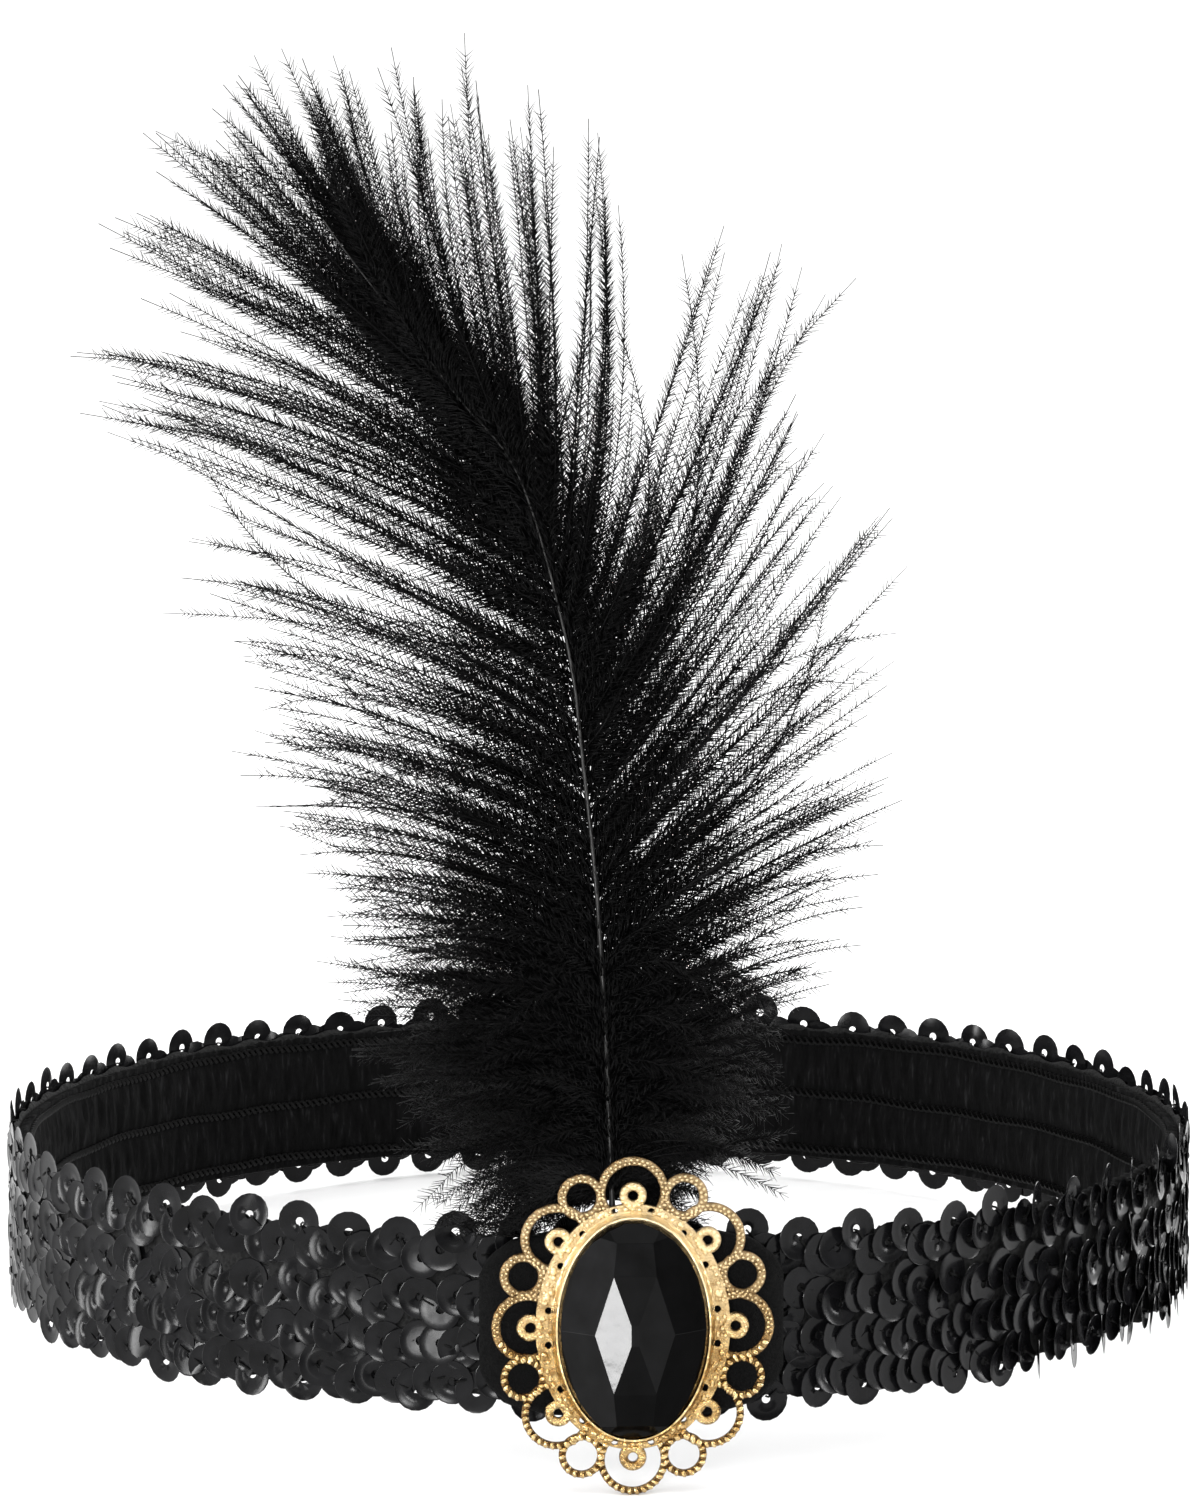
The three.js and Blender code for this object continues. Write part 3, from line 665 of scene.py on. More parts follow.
EYELET_X, EYELET_Y = STONE_X + 4.1, STONE_Y + 3.3
PLATE_X, PLATE_Y = STONE_X + 3.4, STONE_Y + 2.2
SPACING = math.pi / 4 * math.sqrt((EYELET_X ** 2 + EYELET_Y ** 2) / 2)
BIG_RADIUS, SMALL_RADIUS = SPACING * 0.386, SPACING * 0.253
PLATE_THICKNESS = 0.9
STRAND = 1.2
# A rim below the first height is narrow, and rims bear slanted beads like a rope below the second
ROPE_SECTION_BELOW, ROPE_BELOW = -4, -1.5
ROPE_SLANT = 0.45
# Places of one quarter, as shares of the eyelets' and of the plate's half width and half height
BIG_SCALLOPS = [(0, 1, 0.4), (0.725, 0.655, 0.35), (1, 0, 0.35)]
SMALL_SCALLOPS = [(0.5, 0.985), (1.065, 0.39)]
PLATE_HOLES = [(0.187, 0.936), (0.515, 0.756), (0.739, 0.5), (0.866, 0.14)]


def mirrored(rows):
    """The places of one quarter in all four."""
    found = []
    for row in rows:
        for sx in (1, -1) if row[0] else (1,):
            for sy in (1, -1) if row[1] else (1,):
                found.append((row[0] * sx, row[1] * sy, *row[2:]))
    return found


def circle_points(x, y, rx, ry, n, start=0.0, end=TAU, loop=True):
    """Points along an oval or an arc of it, and the ways straight out from it."""
    t = start + (end - start) * np.arange(n) / (n if loop else n - 1)
    p = np.stack([x + rx * np.cos(t), y + ry * np.sin(t)], -1)
    away = unit(np.stack([ry * np.cos(t), rx * np.sin(t)], -1))
    return p, away


def beads(shape, places, radius, level, tall, across=None, wide=1.0):
    """Small round grains set on the metal, at (x, y) places. Across is the way each is widened."""
    places = np.asarray(places, float)
    sides, rings = 8, 3
    turn = np.arange(sides) * TAU / sides
    rise = np.array([-0.35, 0.35, 1.05])
    local = []
    for r in rise:
        out, up = np.cos(r), math.sin(r) * tall
        local.append(np.stack([out * np.cos(turn), out * np.sin(turn), 0 * turn + up], -1))
    local = np.concatenate(local + [np.array([[0, 0, tall], [0, 0, -0.8 * tall]])])
    radius = np.broadcast_to(radius, len(places))
    first = np.tile([1.0, 0.0], (len(places), 1)) if across is None else np.asarray(across)
    second = np.stack([-first[:, 1], first[:, 0]], -1)
    flat = first[:, None] * local[None, :, :1] * wide + second[:, None] * local[None, :, 1:2]
    points = np.zeros((len(places), len(local), 3))
    points[..., :2] = places[:, None] + radius[:, None, None] * flat
    points[..., 2] = level + radius[:, None] * local[None, :, 2]
    quads = grid_faces(rings, sides, loop_columns=True)
    top, low = rings * sides, rings * sides + 1
    j = np.arange(sides)
    caps = np.concatenate([
        np.stack([(rings - 1) * sides + j, (rings - 1) * sides + (j + 1) % sides, 0 * j + top], -1),
        np.stack([(j + 1) % sides, j, 0 * j + low], -1),
    ])
    starts = np.arange(len(places))[:, None, None] * len(local)
    shape.add(on_front(points.reshape(-1, 3)), (quads[None] + starts).reshape(-1, 4),
              (caps[None] + starts).reshape(-1, 3))


def inside_plate(p, margin):
    return (p[..., 0] / (PLATE_X - margin)) ** 2 + (p[..., 1] / (PLATE_Y - margin)) ** 2 < 1


# A rounded band of metal: distance from its middle line and level
STRAND_SECTION = [(-0.62, 0.2), (-0.62, 0.46), (-0.46, 0.62), (0.0, 0.7), (0.46, 0.62), (0.62, 0.46), (0.62, 0.2)]
ROPE_SECTION = [(-0.5, 0.2), (-0.5, 0.42), (-0.3, 0.55), (0.0, 0.6), (0.3, 0.55), (0.5, 0.42), (0.5, 0.2)]

rims, grains = Shape(), Shape()
big = []
for x, y, reach in mirrored(BIG_SCALLOPS):
    out = 1 + reach / math.hypot(x * EYELET_X, y * EYELET_Y)
    big.append((x * EYELET_X * out, y * EYELET_Y * out, BIG_RADIUS))
small = [(x * EYELET_X, y * EYELET_Y, SMALL_RADIUS) for x, y in mirrored(SMALL_SCALLOPS)]


def rim(x, y, radius, others):
    """The part of a scallop's rim that stands clear of the plate, with its beads."""
    middle = radius - STRAND / 2
    out = math.atan2(y, x)
    spans = []
    for side in (1, -1):
        t = 0.0
        while t < math.pi:
            p = np.array([x + middle * math.cos(out + side * t), y + middle * math.sin(out + side * t)])
            if inside_plate(p, 1.1) or any(math.hypot(p[0] - a, p[1] - b) < r - 0.9 * STRAND for a, b, r in others):
                break
            t += 0.02
        spans.append(t)
    length = (spans[0] + spans[1]) * middle
    start, end = out - spans[1], out + spans[0]
    path, away = circle_points(x, y, middle, middle, max(8, int(length / 0.32)), start, end, loop=False)
    swept(rims, path, away, ROPE_SECTION if y < ROPE_SECTION_BELOW else STRAND_SECTION, loop=False)
    spots, aside = circle_points(x, y, middle, middle, int(length / 0.93), start + 0.05, end - 0.05, loop=False)
    roped = spots[:, 1] < ROPE_BELOW
    cos, sin = math.cos(ROPE_SLANT), math.sin(ROPE_SLANT)
    twisted = aside @ np.array([[cos, sin], [-sin, cos]])
    if roped.any():
        beads(grains, spots[roped], 0.4, 0.7, 1.3, twisted[roped], 1.5)
    for offset in (-0.24, 0.24):
        dots, _ = circle_points(x, y, middle + offset, middle + offset, int(length / 0.7),
                                start + 0.05 + offset * 0.2, end - 0.05 + offset * 0.2, loop=False)
        dots = dots[dots[:, 1] >= ROPE_BELOW]
        if len(dots):
            beads(grains, dots + rng.normal(0, 0.03, dots.shape), 0.25, 0.72, 1.2)


for x, y, radius in big:
    rim(x, y, radius, [])
for x, y, radius in small:
    rim(x, y, radius, big)

EYELET_SECTION = [(-0.6, 0.1), (-0.6, 0.75), (-0.42, 0.98), (0.05, 1.1), (0.45, 0.98), (0.62, 0.7), (0.62, 0.1)]
for x, y, _ in mirrored(BIG_SCALLOPS):
    path, away = circle_points(x * EYELET_X, y * EYELET_Y, 1.27, 1.27, 28)
    swept(rims, path, away, EYELET_SECTION)
    spots, _ = circle_points(x * EYELET_X, y * EYELET_Y, 1.42, 1.42, 13)
    beads(grains, spots + rng.normal(0, 0.03, spots.shape), 0.27, 0.98, 0.8)

BEZEL_SECTION = [(-0.25, 0.3), (-0.25, 2.35), (-0.12, 2.58), (0.1, 2.58), (0.25, 2.3), (0.42, 1.3), (0.8, 0.86),
                 (0.8, 0.3)]
path, away = circle_points(0, 0, STONE_X + 0.55, STONE_Y + 0.55, 120)
bezel = Shape()
swept(bezel, path, away, BEZEL_SECTION)


def flat_plate(outline, holes, depth, bevel, name):
    """A thin plate with holes and rounded edges from flat outlines, its back at level 0."""
    data = bpy.data.curves.new(name, "CURVE")
    data.dimensions = "2D"
    data.fill_mode = "BOTH"
    data.extrude = depth / 2 - bevel
    data.bevel_depth = bevel
    data.bevel_resolution = 2
    for ring in [outline, *holes]:
        spline = data.splines.new("POLY")
        spline.points.add(len(ring) - 1)
        for point, (x, y) in zip(spline.points, ring):
            point.co = (x, y, 0, 1)
        spline.use_cyclic_u = True
    ob = bpy.data.objects.new(name, data)
    bpy.context.scene.collection.objects.link(ob)
    bpy.context.view_layer.update()
    me = bpy.data.meshes.new_from_object(ob.evaluated_get(bpy.context.evaluated_depsgraph_get()))
    bpy.data.objects.remove(ob)
    bpy.data.curves.remove(data)
    co = np.array([v.co for v in me.vertices])
    co[:, 2] += depth / 2
    faces = [np.array([list(p.vertices) for p in me.polygons if len(p.vertices) == k]) for k in (3, 4)]
    shape = Shape()
    shape.add(on_front(co), *[f for f in faces if len(f)])
    merged = shape.mesh(name)
    bm = bmesh.new()
    bm.from_mesh(merged)
    bmesh.ops.remove_doubles(bm, verts=bm.verts, dist=2e-6)
    bm.to_mesh(merged)
    bm.free()
    bpy.data.meshes.remove(me)
    return merged


plate_rim, _ = circle_points(0, 0, PLATE_X - 0.15, PLATE_Y - 0.15, 120)
seat_hole, _ = circle_points(0, 0, STONE_X - 0.8, STONE_Y - 0.8, 90)
holes = np.array([(x * PLATE_X, y * PLATE_Y) for x, y in mirrored(PLATE_HOLES)])
small_holes = [circle_points(x, y, 0.6, 0.6, 16)[0] for x, y in holes]
plate = flat_plate(plate_rim, [seat_hole, *small_holes], PLATE_THICKNESS, 0.14, "plate")
add_piece("brooch_plate", plate, GILT, ["brooch_setting"])
add_piece("brooch_rims", rims, GILT, smooth=50)
add_piece("brooch_bezel", bezel, GILT_RIM)


def from_holes(spots):
    return np.min(np.linalg.norm(spots[:, None] - holes[None], axis=-1), 1)


# Grains along the plate's own edge, clear of its holes
edge_spots, _ = circle_points(0, 0, PLATE_X - 0.75, PLATE_Y - 0.75, 84)
edge_spots = edge_spots[from_holes(edge_spots) > 0.95]
beads(grains, edge_spots + rng.normal(0, 0.05, edge_spots.shape), 0.34, 0.84, 0.75)
# Bumps of many sizes pressed into the plate
bump_way = rng.uniform(0, TAU, 90)
bump_out = rng.uniform(0.3, 0.8, 90)
bumps = np.stack([(STONE_X + 1.0 + 2.0 * bump_out) * np.cos(bump_way),
                  (STONE_Y + 1.0 + 1.0 * bump_out) * np.sin(bump_way)], -1)
bumps = bumps[from_holes(bumps) > 1.0]
beads(grains, bumps, rng.uniform(0.28, 0.52, len(bumps)), 0.84, 0.55)
add_piece("brooch_grains", grains, GILT_RIM, smooth=180)

# Stone

# The facet left of the middle, in the band's frame, and how its shading leans up and aside
BRIGHT_FACET = np.array([-0.129, -0.992, 0.0])
FACET_LEAN = np.array([-0.045, 0.0, 0.16])


def cut_stone():
    """The stone's own facets with their edges broken."""
    me = frame["nodes"]["stone"].data.copy()
    bm = bmesh.new()
    bm.from_mesh(me)
    bmesh.ops.remove_doubles(bm, verts=bm.verts, dist=1e-6)
    bmesh.ops.dissolve_limit(bm, angle_limit=math.radians(1), verts=bm.verts, edges=bm.edges)
    bmesh.ops.bevel(bm, geom=bm.edges[:], offset=0.00007, segments=1, affect="EDGES", clamp_overlap=True)
    bmesh.ops.recalc_face_normals(bm, faces=bm.faces)
    bm.to_mesh(me)
    bm.free()
    return me


# Painted reflections on the facets, a tone for each that stands in for the light it gives back: where each is, in the
# brooch's x and y, and how light
FACET_PAINTED_REFLECTIONS = [
    ((2.8, 0), 0.005), ((-2.8, 0), 0.0135), ((-5.7, 8), 0.012), ((5.7, 8), 0.003), ((-5.7, -8), 0.006),
    ((5.7, -8), 0.0015), ((0, 6), 0.004), ((0, 10.5), 0.007), ((0, -6), 0.003), ((0, -10.5), 0.0025),
    ((0, 13.6), 0.003), ((0, -13.6), 0.0015),
]


def paint_facet_reflections(me):
    """Gives every face the painted reflection tone of the nearest facet in the list."""
    tones = np.zeros((len(me.polygons), 4))
    spots = np.array([spot for spot, _ in FACET_PAINTED_REFLECTIONS], float)
    for polygon in me.polygons:
        at = (np.array(polygon.center) - SHIFT) @ TURN / MM
        nearest = np.argmin(np.hypot(*(spots - [at[0], at[2] - MIDDLE]).T))
        tones[polygon.index] = (*[FACET_PAINTED_REFLECTIONS[nearest][1]] * 3, 1)
    layer = me.color_attributes.new("facet_painted_reflection", "FLOAT_COLOR", "CORNER")
    corners = np.repeat(tones, [p.loop_total for p in me.polygons], axis=0)
    layer.data.foreach_set("color", corners.astype(np.float32).ravel())


def lean_facet(me):
    """Flat shading everywhere, but the bright facet shades as if it were cut at a slightly other angle."""
    wanted = TURN @ BRIGHT_FACET
    leaned = unit(wanted + TURN @ FACET_LEAN)
    normals = np.zeros((len(me.loops), 3))
    for polygon in me.polygons:
        normal = np.array(polygon.normal)
        if normal @ wanted > 0.999 and polygon.area > 1e-5:
            normal = leaned
        for loop in polygon.loop_indices:
            normals[loop] = normal
    me.shade_smooth()
    me.normals_split_custom_set([Vector(n) for n in normals])


stone = add_piece("cut_stone", cut_stone(), STONE, ["stone"], smooth=0, turn=False)
paint_facet_reflections(stone.data)
lean_facet(stone.data)

# Plume

# The quill's line over the pad, in shares of the plume's height: sideways, back, up
SPINE = [
    (0, 0, 0), (-0.005, 0.008, 0.137), (-0.012, 0.02, 0.26), (-0.023, 0.03, 0.37), (-0.037, 0.036, 0.477),
    (-0.077, 0.032, 0.617), (-0.128, 0.022, 0.685), (-0.186, 0.006, 0.761), (-0.244, -0.012, 0.84),
    (-0.314, -0.034, 0.955),
]
# Where barbs of each side end: share of the way along the quill's line, tip sideways and up
LEFT_TIPS = [
    (0.0, -0.1, 0.01), (0.03, -0.16, 0.05), (0.07, -0.22, 0.12), (0.13, -0.235, 0.2), (0.2, -0.265, 0.3),
    (0.27, -0.315, 0.4), (0.34, -0.345, 0.5), (0.4, -0.355, 0.585), (0.45, -0.43, 0.68), (0.5, -0.462, 0.73),
    (0.54, -0.45, 0.785), (0.58, -0.42, 0.84), (0.63, -0.385, 0.9), (0.69, -0.35, 0.95), (0.76, -0.31, 0.985),
]
RIGHT_TIPS = [
    (0.0, 0.08, 0.02), (0.03, 0.11, 0.06), (0.06, 0.15, 0.13), (0.1, 0.2, 0.21), (0.14, 0.24, 0.29),
    (0.19, 0.255, 0.38), (0.24, 0.255, 0.49), (0.29, 0.235, 0.605), (0.34, 0.19, 0.69), (0.38, 0.175, 0.8),
    (0.42, 0.13, 0.85), (0.46, 0.035, 0.89), (0.49, -0.015, 0.92), (0.54, -0.08, 0.975), (0.59, -0.135, 0.985),
    (0.64, -0.19, 0.995), (0.69, -0.24, 0.99), (0.76, -0.295, 0.985),
]
CROWN_TIPS = [(0.64, -0.37, 0.9), (0.7, -0.33, 0.96), (0.75, -0.285, 0.98), (0.8, -0.25, 0.965)]
LINE_POINTS = 240


def plume_point(x, back, up):
    return np.stack([QUILL_X + PLUME_HEIGHT * x, QUILL_Y + PLUME_HEIGHT * back, PLUME_FOOT + PLUME_HEIGHT * up], -1)


def between(at, knots, lines):
    """Places at ways between knots along a line of points."""
    return np.stack([np.interp(at, knots, lines[:, k]) for k in range(3)], -1)


def spine_line():
    """A smooth line through the spine's points, evenly spaced."""
    p = plume_point(*np.array(SPINE, float).T)
    before, after = 2 * p[0] - p[1], 2 * p[-1] - p[-2]
    q = np.concatenate([[before], p, [after]])
    fine = []
    for i in range(1, len(q) - 2):
        t = np.linspace(0, 1, 40, endpoint=False)[:, None]
        a, b, c, d = q[i - 1], q[i], q[i + 1], q[i + 2]
        square, cube = 2 * a - 5 * b + 4 * c - d, 3 * b - a - 3 * c + d
        fine.append(0.5 * (2 * b + (c - a) * t + square * t ** 2 + cube * t ** 3))
    fine = np.concatenate([*fine, [p[-1]]])
    run = np.concatenate([[0], np.cumsum(np.linalg.norm(np.diff(fine, axis=0), axis=1))])
    return between(np.linspace(0, run[-1], LINE_POINTS), run, fine)


LINE = spine_line()
LINE_T = unit(np.gradient(LINE, axis=0))


def on_line(at):
    """Places on the quill's line, and its directions there."""
    f = np.clip(at, 0, 1) * (LINE_POINTS - 1)
    knots = np.arange(LINE_POINTS)
    return between(f, knots, LINE), unit(between(f, knots, LINE_T))


# Points along each barb
STATIONS = 14
# What lies behind the brooch: the plume's loose foot keeps back from the setting and over the band
BROOCH_TOP = 39.0
BROOCH_SIDE = 23.0
BAND_TOP = 26.9


def kept_back(points):
    """Points moved behind the brooch and up off the band's top edge."""
    x, z = points[..., 0], points[..., 2]
    low = np.clip((BROOCH_TOP + 3 - z) / 3, 0, 1) * np.clip((BROOCH_SIDE + 3 - np.abs(x)) / 3, 0, 1)
    front = -SETTING_BACK + 0.35 + (x - QUILL_X) ** 2 * 0.004
    points[..., 1] += np.maximum(front - points[..., 1], 0) * low
    rest = BAND_TOP + 2.2 * np.abs(np.sin(x * 5.1 + z * 3.7)) * np.abs(np.sin(x * 0.9))
    points[..., 2] += np.maximum(rest - z, 0) * 0.9
    return points


def barb_paths(root, tangent, tip, rise, spread, droop, curl, wave, r):
    """Curved lines (m, stations, 3) that leave the shaft steeply and end at their tips."""
    length = np.linalg.norm(tip - root, axis=1, keepdims=True)
    out = np.stack([tangent[:, 2], 0 * tangent[:, 0], -tangent[:, 0]], -1)
    out = out * np.sign(((tip - root) * out).sum(1, keepdims=True))
    bend = root + tangent * length * rise[:, None] + out * length * spread[:, None]
    t = np.linspace(0, 1, STATIONS)[None, :, None]
    path = (1 - t) ** 2 * root[:, None] + 2 * t * (1 - t) * bend[:, None] + t ** 2 * tip[:, None]
    grow = t[..., 0]
    path[:, :, 2] -= droop[:, None] * grow ** 3
    path[:, :, 1] += curl[:, None] * np.sin(grow * math.pi * 0.9) * grow
    turns = grow * r.uniform(3, 7, len(root))[:, None] + r.uniform(0, TAU, len(root))[:, None]
    path[:, :, 2] += wave * np.sin(turns) * grow
    path[:, :, 1] += wave * np.cos(turns) * grow
    return path


# Where barbs may be thinned, as a share of the way along the quill's line, and to either side of it
THIN_AT, THIN_REACH = 0.47, 0.06
STRAY_SHARE, SHORT_SHARE = 0.1, 0.2
# The highest that a tip gets, and how far a stray gets beyond its tip, as shares of heights and lengths
CEILING, BEYOND = 0.985, 0.05


def side_of_plume(tips, count, seed, reach, bundle, at_low=0.0, at_high=0.75, lift_up=0.26, straight=0.42, thin=0.0):
    """Barbs (m, stations, 3) whose tips follow a table. From straight on they leave the shaft less bent."""
    r = np.random.default_rng(seed)
    table = np.array(tips, float)
    at = at_low + (at_high - at_low) * np.linspace(0, 1, count) + r.normal(0, 0.0015, count)
    at = np.clip(at, 0, 1)
    kept = (np.abs(at - THIN_AT) > THIN_REACH) | (r.random(count) > thin)
    at, count = at[kept], int(kept.sum())
    root, tangent = on_line(at)
    root[:, 1] += 0.35
    # Neighbours gather into bundles that end close together
    sizes = []
    while sum(sizes) < count:
        sizes.append(int(r.integers(*bundle)))
    groups = len(sizes)
    group = np.repeat(np.arange(groups), sizes)[:count]
    centre_at = np.array([at[group == g].mean() if (group == g).any() else 0 for g in range(groups)])
    hold = 0.85 * r.uniform(0.2, 1, groups)[group]
    held_at = at * (1 - hold) + centre_at[group] * hold + r.normal(0, 0.008, groups)[group]
    fore = np.clip(r.normal(0, 3.6, groups)[group] + r.normal(0, 1.8, count), -9, 9)
    length = reach * r.uniform(0.9, 1.03, groups)[group] * r.uniform(0.84, 1.02, count)
    short = r.random(count) < SHORT_SHARE
    length = np.where(short, length * r.uniform(0.5, 0.85, count), length)[:, None]
    ends = []
    for place_at in (at, held_at):
        aside, up = (np.interp(place_at, table[:, 0], table[:, k]) for k in (1, 2))
        tip = plume_point(aside, 0 * at, up)
        tip = root + (tip - root) * length
        tip[:, 1] = root[:, 1] - fore * np.clip(length[:, 0], 0.4, 1)
        ends.append(tip)
    tip = ends[0]
    size = np.linalg.norm(tip - root, axis=1)
    stray = r.random(count) < STRAY_SHARE
    curled = np.clip((at - 0.42) / 0.25, 0, 1)
    rise = lift_up + 0.08 * curled + r.normal(0, 0.035, count) + stray * r.normal(0, 0.14, count)
    spread = 0.3 - 0.26 * np.clip((at - straight) / 0.22, 0, 1)
    spread = spread + r.normal(0, 0.03, count) + stray * r.normal(0, 0.1, count)
    droop = size * np.clip(r.normal(0.04, 0.04, count), -0.03, 0.14)
    path = barb_paths(root, tangent, tip, rise, spread, droop, r.normal(0, 1.6, count), 0.45, r)
    shift = ends[1] - ends[0]
    shift[:, [0, 2]] += r.normal(0, 1, (count, 2)) * (np.where(stray, 0.14, 0.012) * size)[:, None]
    # No stray gets far beyond its tip in the table
    outward_way = (tip - root) / size[:, None]
    beyond = np.maximum((shift * outward_way).sum(1) - BEYOND * size, 0)
    shift -= outward_way * beyond[:, None]
    ceiling = PLUME_FOOT + CEILING * PLUME_HEIGHT
    shift[:, 2] = np.minimum(shift[:, 2], ceiling - ends[0][:, 2])
    return path + shift[:, None] * (np.linspace(0, 1, STATIONS) ** 2.4)[None, :, None]


# Where the barbules stop, as a share of a barb, and their angle to it in degrees
BARE_FROM = 0.95
BARBULE_ANGLE, ANGLE_SPREAD = 42, 9
ACROSS = np.array([0.02, 1.0, 0.03])


def vanes(paths, seed, near=0.38, far=0.55, long=3.5, width=0.2, thick=0.17):
    """Tapered barbs with barbules on both sides, closer together near the shaft, into the fans in turn.

    near and far are the barbules' spacings, long and width their size and thick the barb's radius.
    """
    r = np.random.default_rng(seed)
    m = len(paths)
    t = np.linspace(0, 1, STATIONS)
    tubes(barbs, kept_back(paths), thick * (1 - 0.62 * t)[None] * r.uniform(0.85, 1.15, m)[:, None], 3, ACROSS)
    step = np.linalg.norm(np.diff(paths, axis=1), axis=-1)
    run = np.concatenate([np.zeros((m, 1)), np.cumsum(step, 1)], 1)
    for k in range(m):
        total = run[k, -1] * BARE_FROM
        # The way along a barb is stretched so that even steps crowd near the shaft
        inner = min(np.interp(paths[k, 0, 2], [60, 130], [24, 15]), total)
        count = int(inner / near + (total - inner) / far)
        if count < 3:
            continue
        e = (np.arange(count) + r.uniform(-0.35, 0.35, count) + 0.5)
        d = np.clip(np.interp(e, [0, inner / near, count], [0, inner, total]), 0, total)
        p = between(d, run[k], paths[k])
        q = between(np.minimum(d + 0.3, total), run[k], paths[k])
        along = unit(q - p + 1e-6)
        roll = r.normal(0, 0.4) + 0.5 * np.sin(d * 0.1 + r.uniform(0, TAU))
        flat = unit(np.cross(along, np.array([0.0, 1.0, 0.0])))
        fore = np.cross(flat, along)
        wing = np.cos(roll)[:, None] * flat + np.sin(roll)[:, None] * fore
        share = d / total
        for side in (1, -1):
            angle = np.radians(r.normal(BARBULE_ANGLE, ANGLE_SPREAD, count))
            away = side * wing + r.normal(0, 0.3, count)[:, None] * fore
            reach = long * (1 - 0.5 * share) * r.uniform(0.7, 1.2, count)
            tip = p + reach[:, None] * (np.cos(angle)[:, None] * along + np.sin(angle)[:, None] * unit(away))
            needles(fans[k % len(fans)], p, kept_back(tip), width * (1 - 0.4 * share))


barbs, fans = Shape(), [Shape() for _ in range(4)]
left = side_of_plume(LEFT_TIPS, 205, 21, 1.0, (2, 6), lift_up=0.24)
# On the left every third barb is left out where the plume opens
left = np.delete(left, np.arange(104, 130, 3), 0)
vanes(left, 31)
vanes(side_of_plume(RIGHT_TIPS, 208, 22, 1.0, (2, 6), lift_up=0.28, straight=0.38, thin=0.15), 32)

# Further barbs: the core of both sides, the lower half, the crown, the right side's middle and top, the
# left side's foot and middle
further = (
    side_of_plume(LEFT_TIPS, 30, 23, 0.52, (2, 5), 0.34, 0.74),
    side_of_plume(RIGHT_TIPS, 26, 24, 0.28, (2, 5), 0.34, 0.72, straight=0.38, thin=0.5),
    side_of_plume(LEFT_TIPS, 26, 27, 0.9, (2, 5), 0.12, 0.3),
    side_of_plume(RIGHT_TIPS, 34, 28, 0.88, (2, 5), 0.02, 0.3),
    side_of_plume(CROWN_TIPS, 25, 29, 0.92, (1, 4), 0.64, 0.79, straight=0.3),
    side_of_plume(RIGHT_TIPS, 22, 51, 0.66, (2, 5), 0.38, 0.48, straight=0.38),
    side_of_plume(RIGHT_TIPS, 18, 52, 0.7, (2, 5), 0.58, 0.74, straight=0.38),
    side_of_plume(LEFT_TIPS, 44, 54, 1.0, (2, 5), 0.02, 0.24),
    side_of_plume(LEFT_TIPS, 8, 55, 0.98, (2, 5), 0.525, 0.575),
)
for number, paths in enumerate(further):
    vanes(paths, 60 + number, near=0.5, far=0.6)


def down(count, seed, at_high, reach_left, reach_right, low, high):
    """Soft loose barbs at the foot of the plume, between two heights over where they leave the quill."""
    r = np.random.default_rng(seed)
    at = r.uniform(0.0, at_high, count)
    root, tangent = on_line(at)
    side = np.where(r.random(count) < 0.6, -1.0, 1.0)
    spread = np.where(side < 0, reach_left, reach_right)
    share = r.uniform(0.25, 1.0, count) ** 0.8
    x = root[:, 0] + side * spread * share
    z = root[:, 2] + r.uniform(low, high, count) * (0.5 + 0.5 * share)
    y = root[:, 1] + r.normal(1.0, 4.0, count)
    tip = np.stack([x, np.clip(y, -99, -78), z], -1)
    size = np.linalg.norm(tip - root, axis=1)
    return barb_paths(root, tangent, tip, r.uniform(0.1, 0.5, count), r.uniform(0.1, 0.35, count),
                      size * r.uniform(0.0, 0.14, count), r.normal(0, 2.5, count), 0.9, r)


vanes(down(200, 25, 0.2, 31.0, 26.0, -6, 13), 35, near=0.55, far=0.55, width=0.22, thick=0.1)
vanes(down(125, 26, 0.012, 22.0, 14.0, -11, 4), 36, near=0.5, far=0.5, long=3.4, width=0.22, thick=0.1)

add_piece("plume_barbs", barbs, BARB, ["feather"], smooth=180)
for name, fan in zip("abcd", fans):
    add_piece(f"plume_barbules_{name}", fan, BARB, smooth=0, turn=False)

shaft = Shape()
foot = np.stack([np.full(6, QUILL_X), np.full(6, QUILL_Y), np.linspace(PLUME_FOOT - 20.4, PLUME_FOOT - 3, 6)], -1)
shaft_path = np.concatenate([foot, LINE[: int(0.87 * LINE_POINTS) : 3]])
over = np.clip((shaft_path[:, 2] - PLUME_FOOT + 6) / PLUME_HEIGHT, 0, 1)
girth = np.interp(over, [0, 0.04, 0.5, 0.9], [QUILL_RADIUS, 0.42, 0.22, 0.08])
tubes(shaft, shaft_path[None], girth[None], 8, ACROSS)
add_piece("plume_shaft", shaft, SHAFT, smooth=60)

# Stage, light and camera

bpy.ops.mesh.primitive_plane_add(size=40, location=(0, 0, 0))
floor = bpy.context.object
floor.name = "floor"
floor.data.materials.append(floor_material())

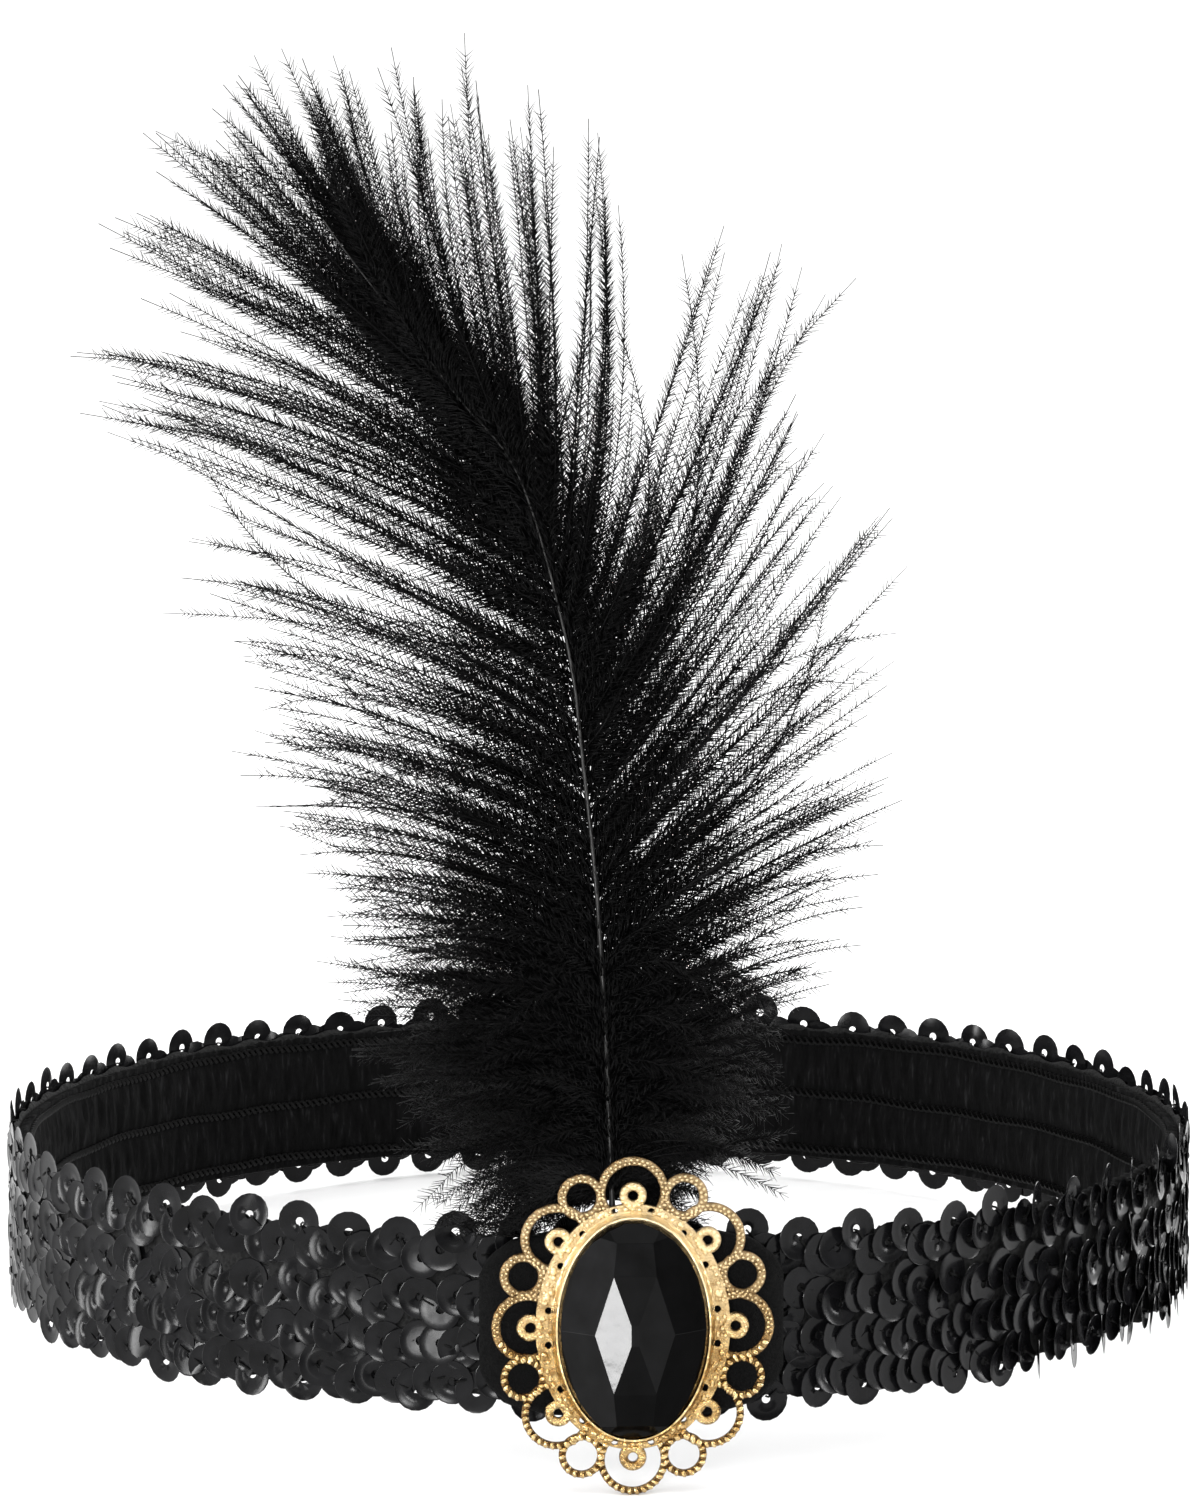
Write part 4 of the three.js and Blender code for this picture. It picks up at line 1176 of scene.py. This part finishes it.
# Brightness of the sky: dim in front and low, full overhead and behind the headband
SKY_STRENGTH, SKY_DIM = 1.32, 0.2
world = bpy.data.worlds.new("studio")
bpy.context.scene.world = world
world.use_nodes = True
sky = world.node_tree
way = sky.nodes.new("ShaderNodeTexCoord")
parts = sky.nodes.new("ShaderNodeSeparateXYZ")
lighter = sky.nodes.new("ShaderNodeMath")
lighter.operation = "MAXIMUM"
sky.links.new(way.outputs["Generated"], parts.inputs[0])
for number, (socket, low_end, high_end) in enumerate((("Z", 0.16, 0.48), ("Y", 0.5, 1.0))):
    node = sky.nodes.new("ShaderNodeMapRange")
    node.interpolation_type = "SMOOTHSTEP"
    fill(node, From_Min=low_end, From_Max=high_end, To_Min=SKY_DIM, To_Max=1.0)
    sky.links.new(parts.outputs[socket], node.inputs["Value"])
    sky.links.new(node.outputs["Result"], lighter.inputs[number])
sky.links.new(lighter.outputs[0], sky.nodes["Background"].inputs["Color"])
fill(sky.nodes["Background"], Strength=SKY_STRENGTH)

AIM = Vector((0, 0, 0.05))


def lamp(name, azimuth, elevation, distance, width, height, radiance, tone=(1, 1, 1)):
    """A soft panel that faces the headband. Azimuth 0 is in front and 90 to the right."""
    a, e = math.radians(azimuth), math.radians(elevation)
    way = Vector((math.sin(a) * math.cos(e), -math.cos(a) * math.cos(e), math.sin(e)))
    data = bpy.data.lights.new(name, "AREA")
    data.shape = "RECTANGLE"
    data.size, data.size_y = width, height
    data.energy = radiance * math.pi * width * height
    data.color = tone
    ob = bpy.data.objects.new(name, data)
    ob.location = AIM + way * distance
    ob.rotation_euler = (-way).to_track_quat("-Z", "Y").to_euler()
    ob.visible_camera = False
    bpy.context.scene.collection.objects.link(ob)


# Azimuth and elevation in degrees, distance, width and height in metres, radiance and tone
lamp("top", 10, 78, 1.6, 1.6, 1.6, 1.4)
lamp("left_strip", -78, 12, 1.2, 0.14, 0.5, 40.0)
lamp("left_soft", -50, 10, 1.3, 0.1, 0.4, 16.0)
lamp("left_back", -118, 10, 1.4, 0.6, 0.5, 0.8, (0.9, 0.88, 1.0))
lamp("front_low", -17, 8, 1.3, 0.22, 0.16, 52.0)
lamp("right_strip", 80, 14, 1.2, 0.14, 0.5, 26.0)
lamp("right_back", 128, 8, 1.4, 0.6, 0.5, 9.0)

# The photograph's camera in the band's frame, its focal length in pixels and the photograph's longer side
CAMERA = (-44.7, -883.3, 196.5)
LOOK_AT = (-0.17, 0.0, 82.315)
FOCAL_PIXELS, LONG_SIDE = 5895.5, 1500
SENSOR_WIDTH = 36
position, target = place([CAMERA])[0], place([LOOK_AT])[0]
forward = Vector(target - position).normalized()
ring_up = Vector(TURN @ np.array([0.0, 0.0, 1.0]))
side = forward.cross(ring_up).normalized()
top = side.cross(forward)
camera_data = bpy.data.cameras.new("camera")
camera_data.sensor_width = SENSOR_WIDTH
camera_data.sensor_fit = "AUTO"
camera_data.lens = FOCAL_PIXELS / LONG_SIDE * SENSOR_WIDTH
camera_data.clip_end = 100
camera = bpy.data.objects.new("camera", camera_data)
camera.matrix_world = Matrix((
    (side.x, top.x, -forward.x, position[0]),
    (side.y, top.y, -forward.y, position[1]),
    (side.z, top.z, -forward.z, position[2]),
    (0, 0, 0, 1),
))
scene = bpy.context.scene
scene.collection.objects.link(camera)
scene.camera = camera
scene.view_settings.view_transform = "Standard"
scene.view_settings.look = "None"
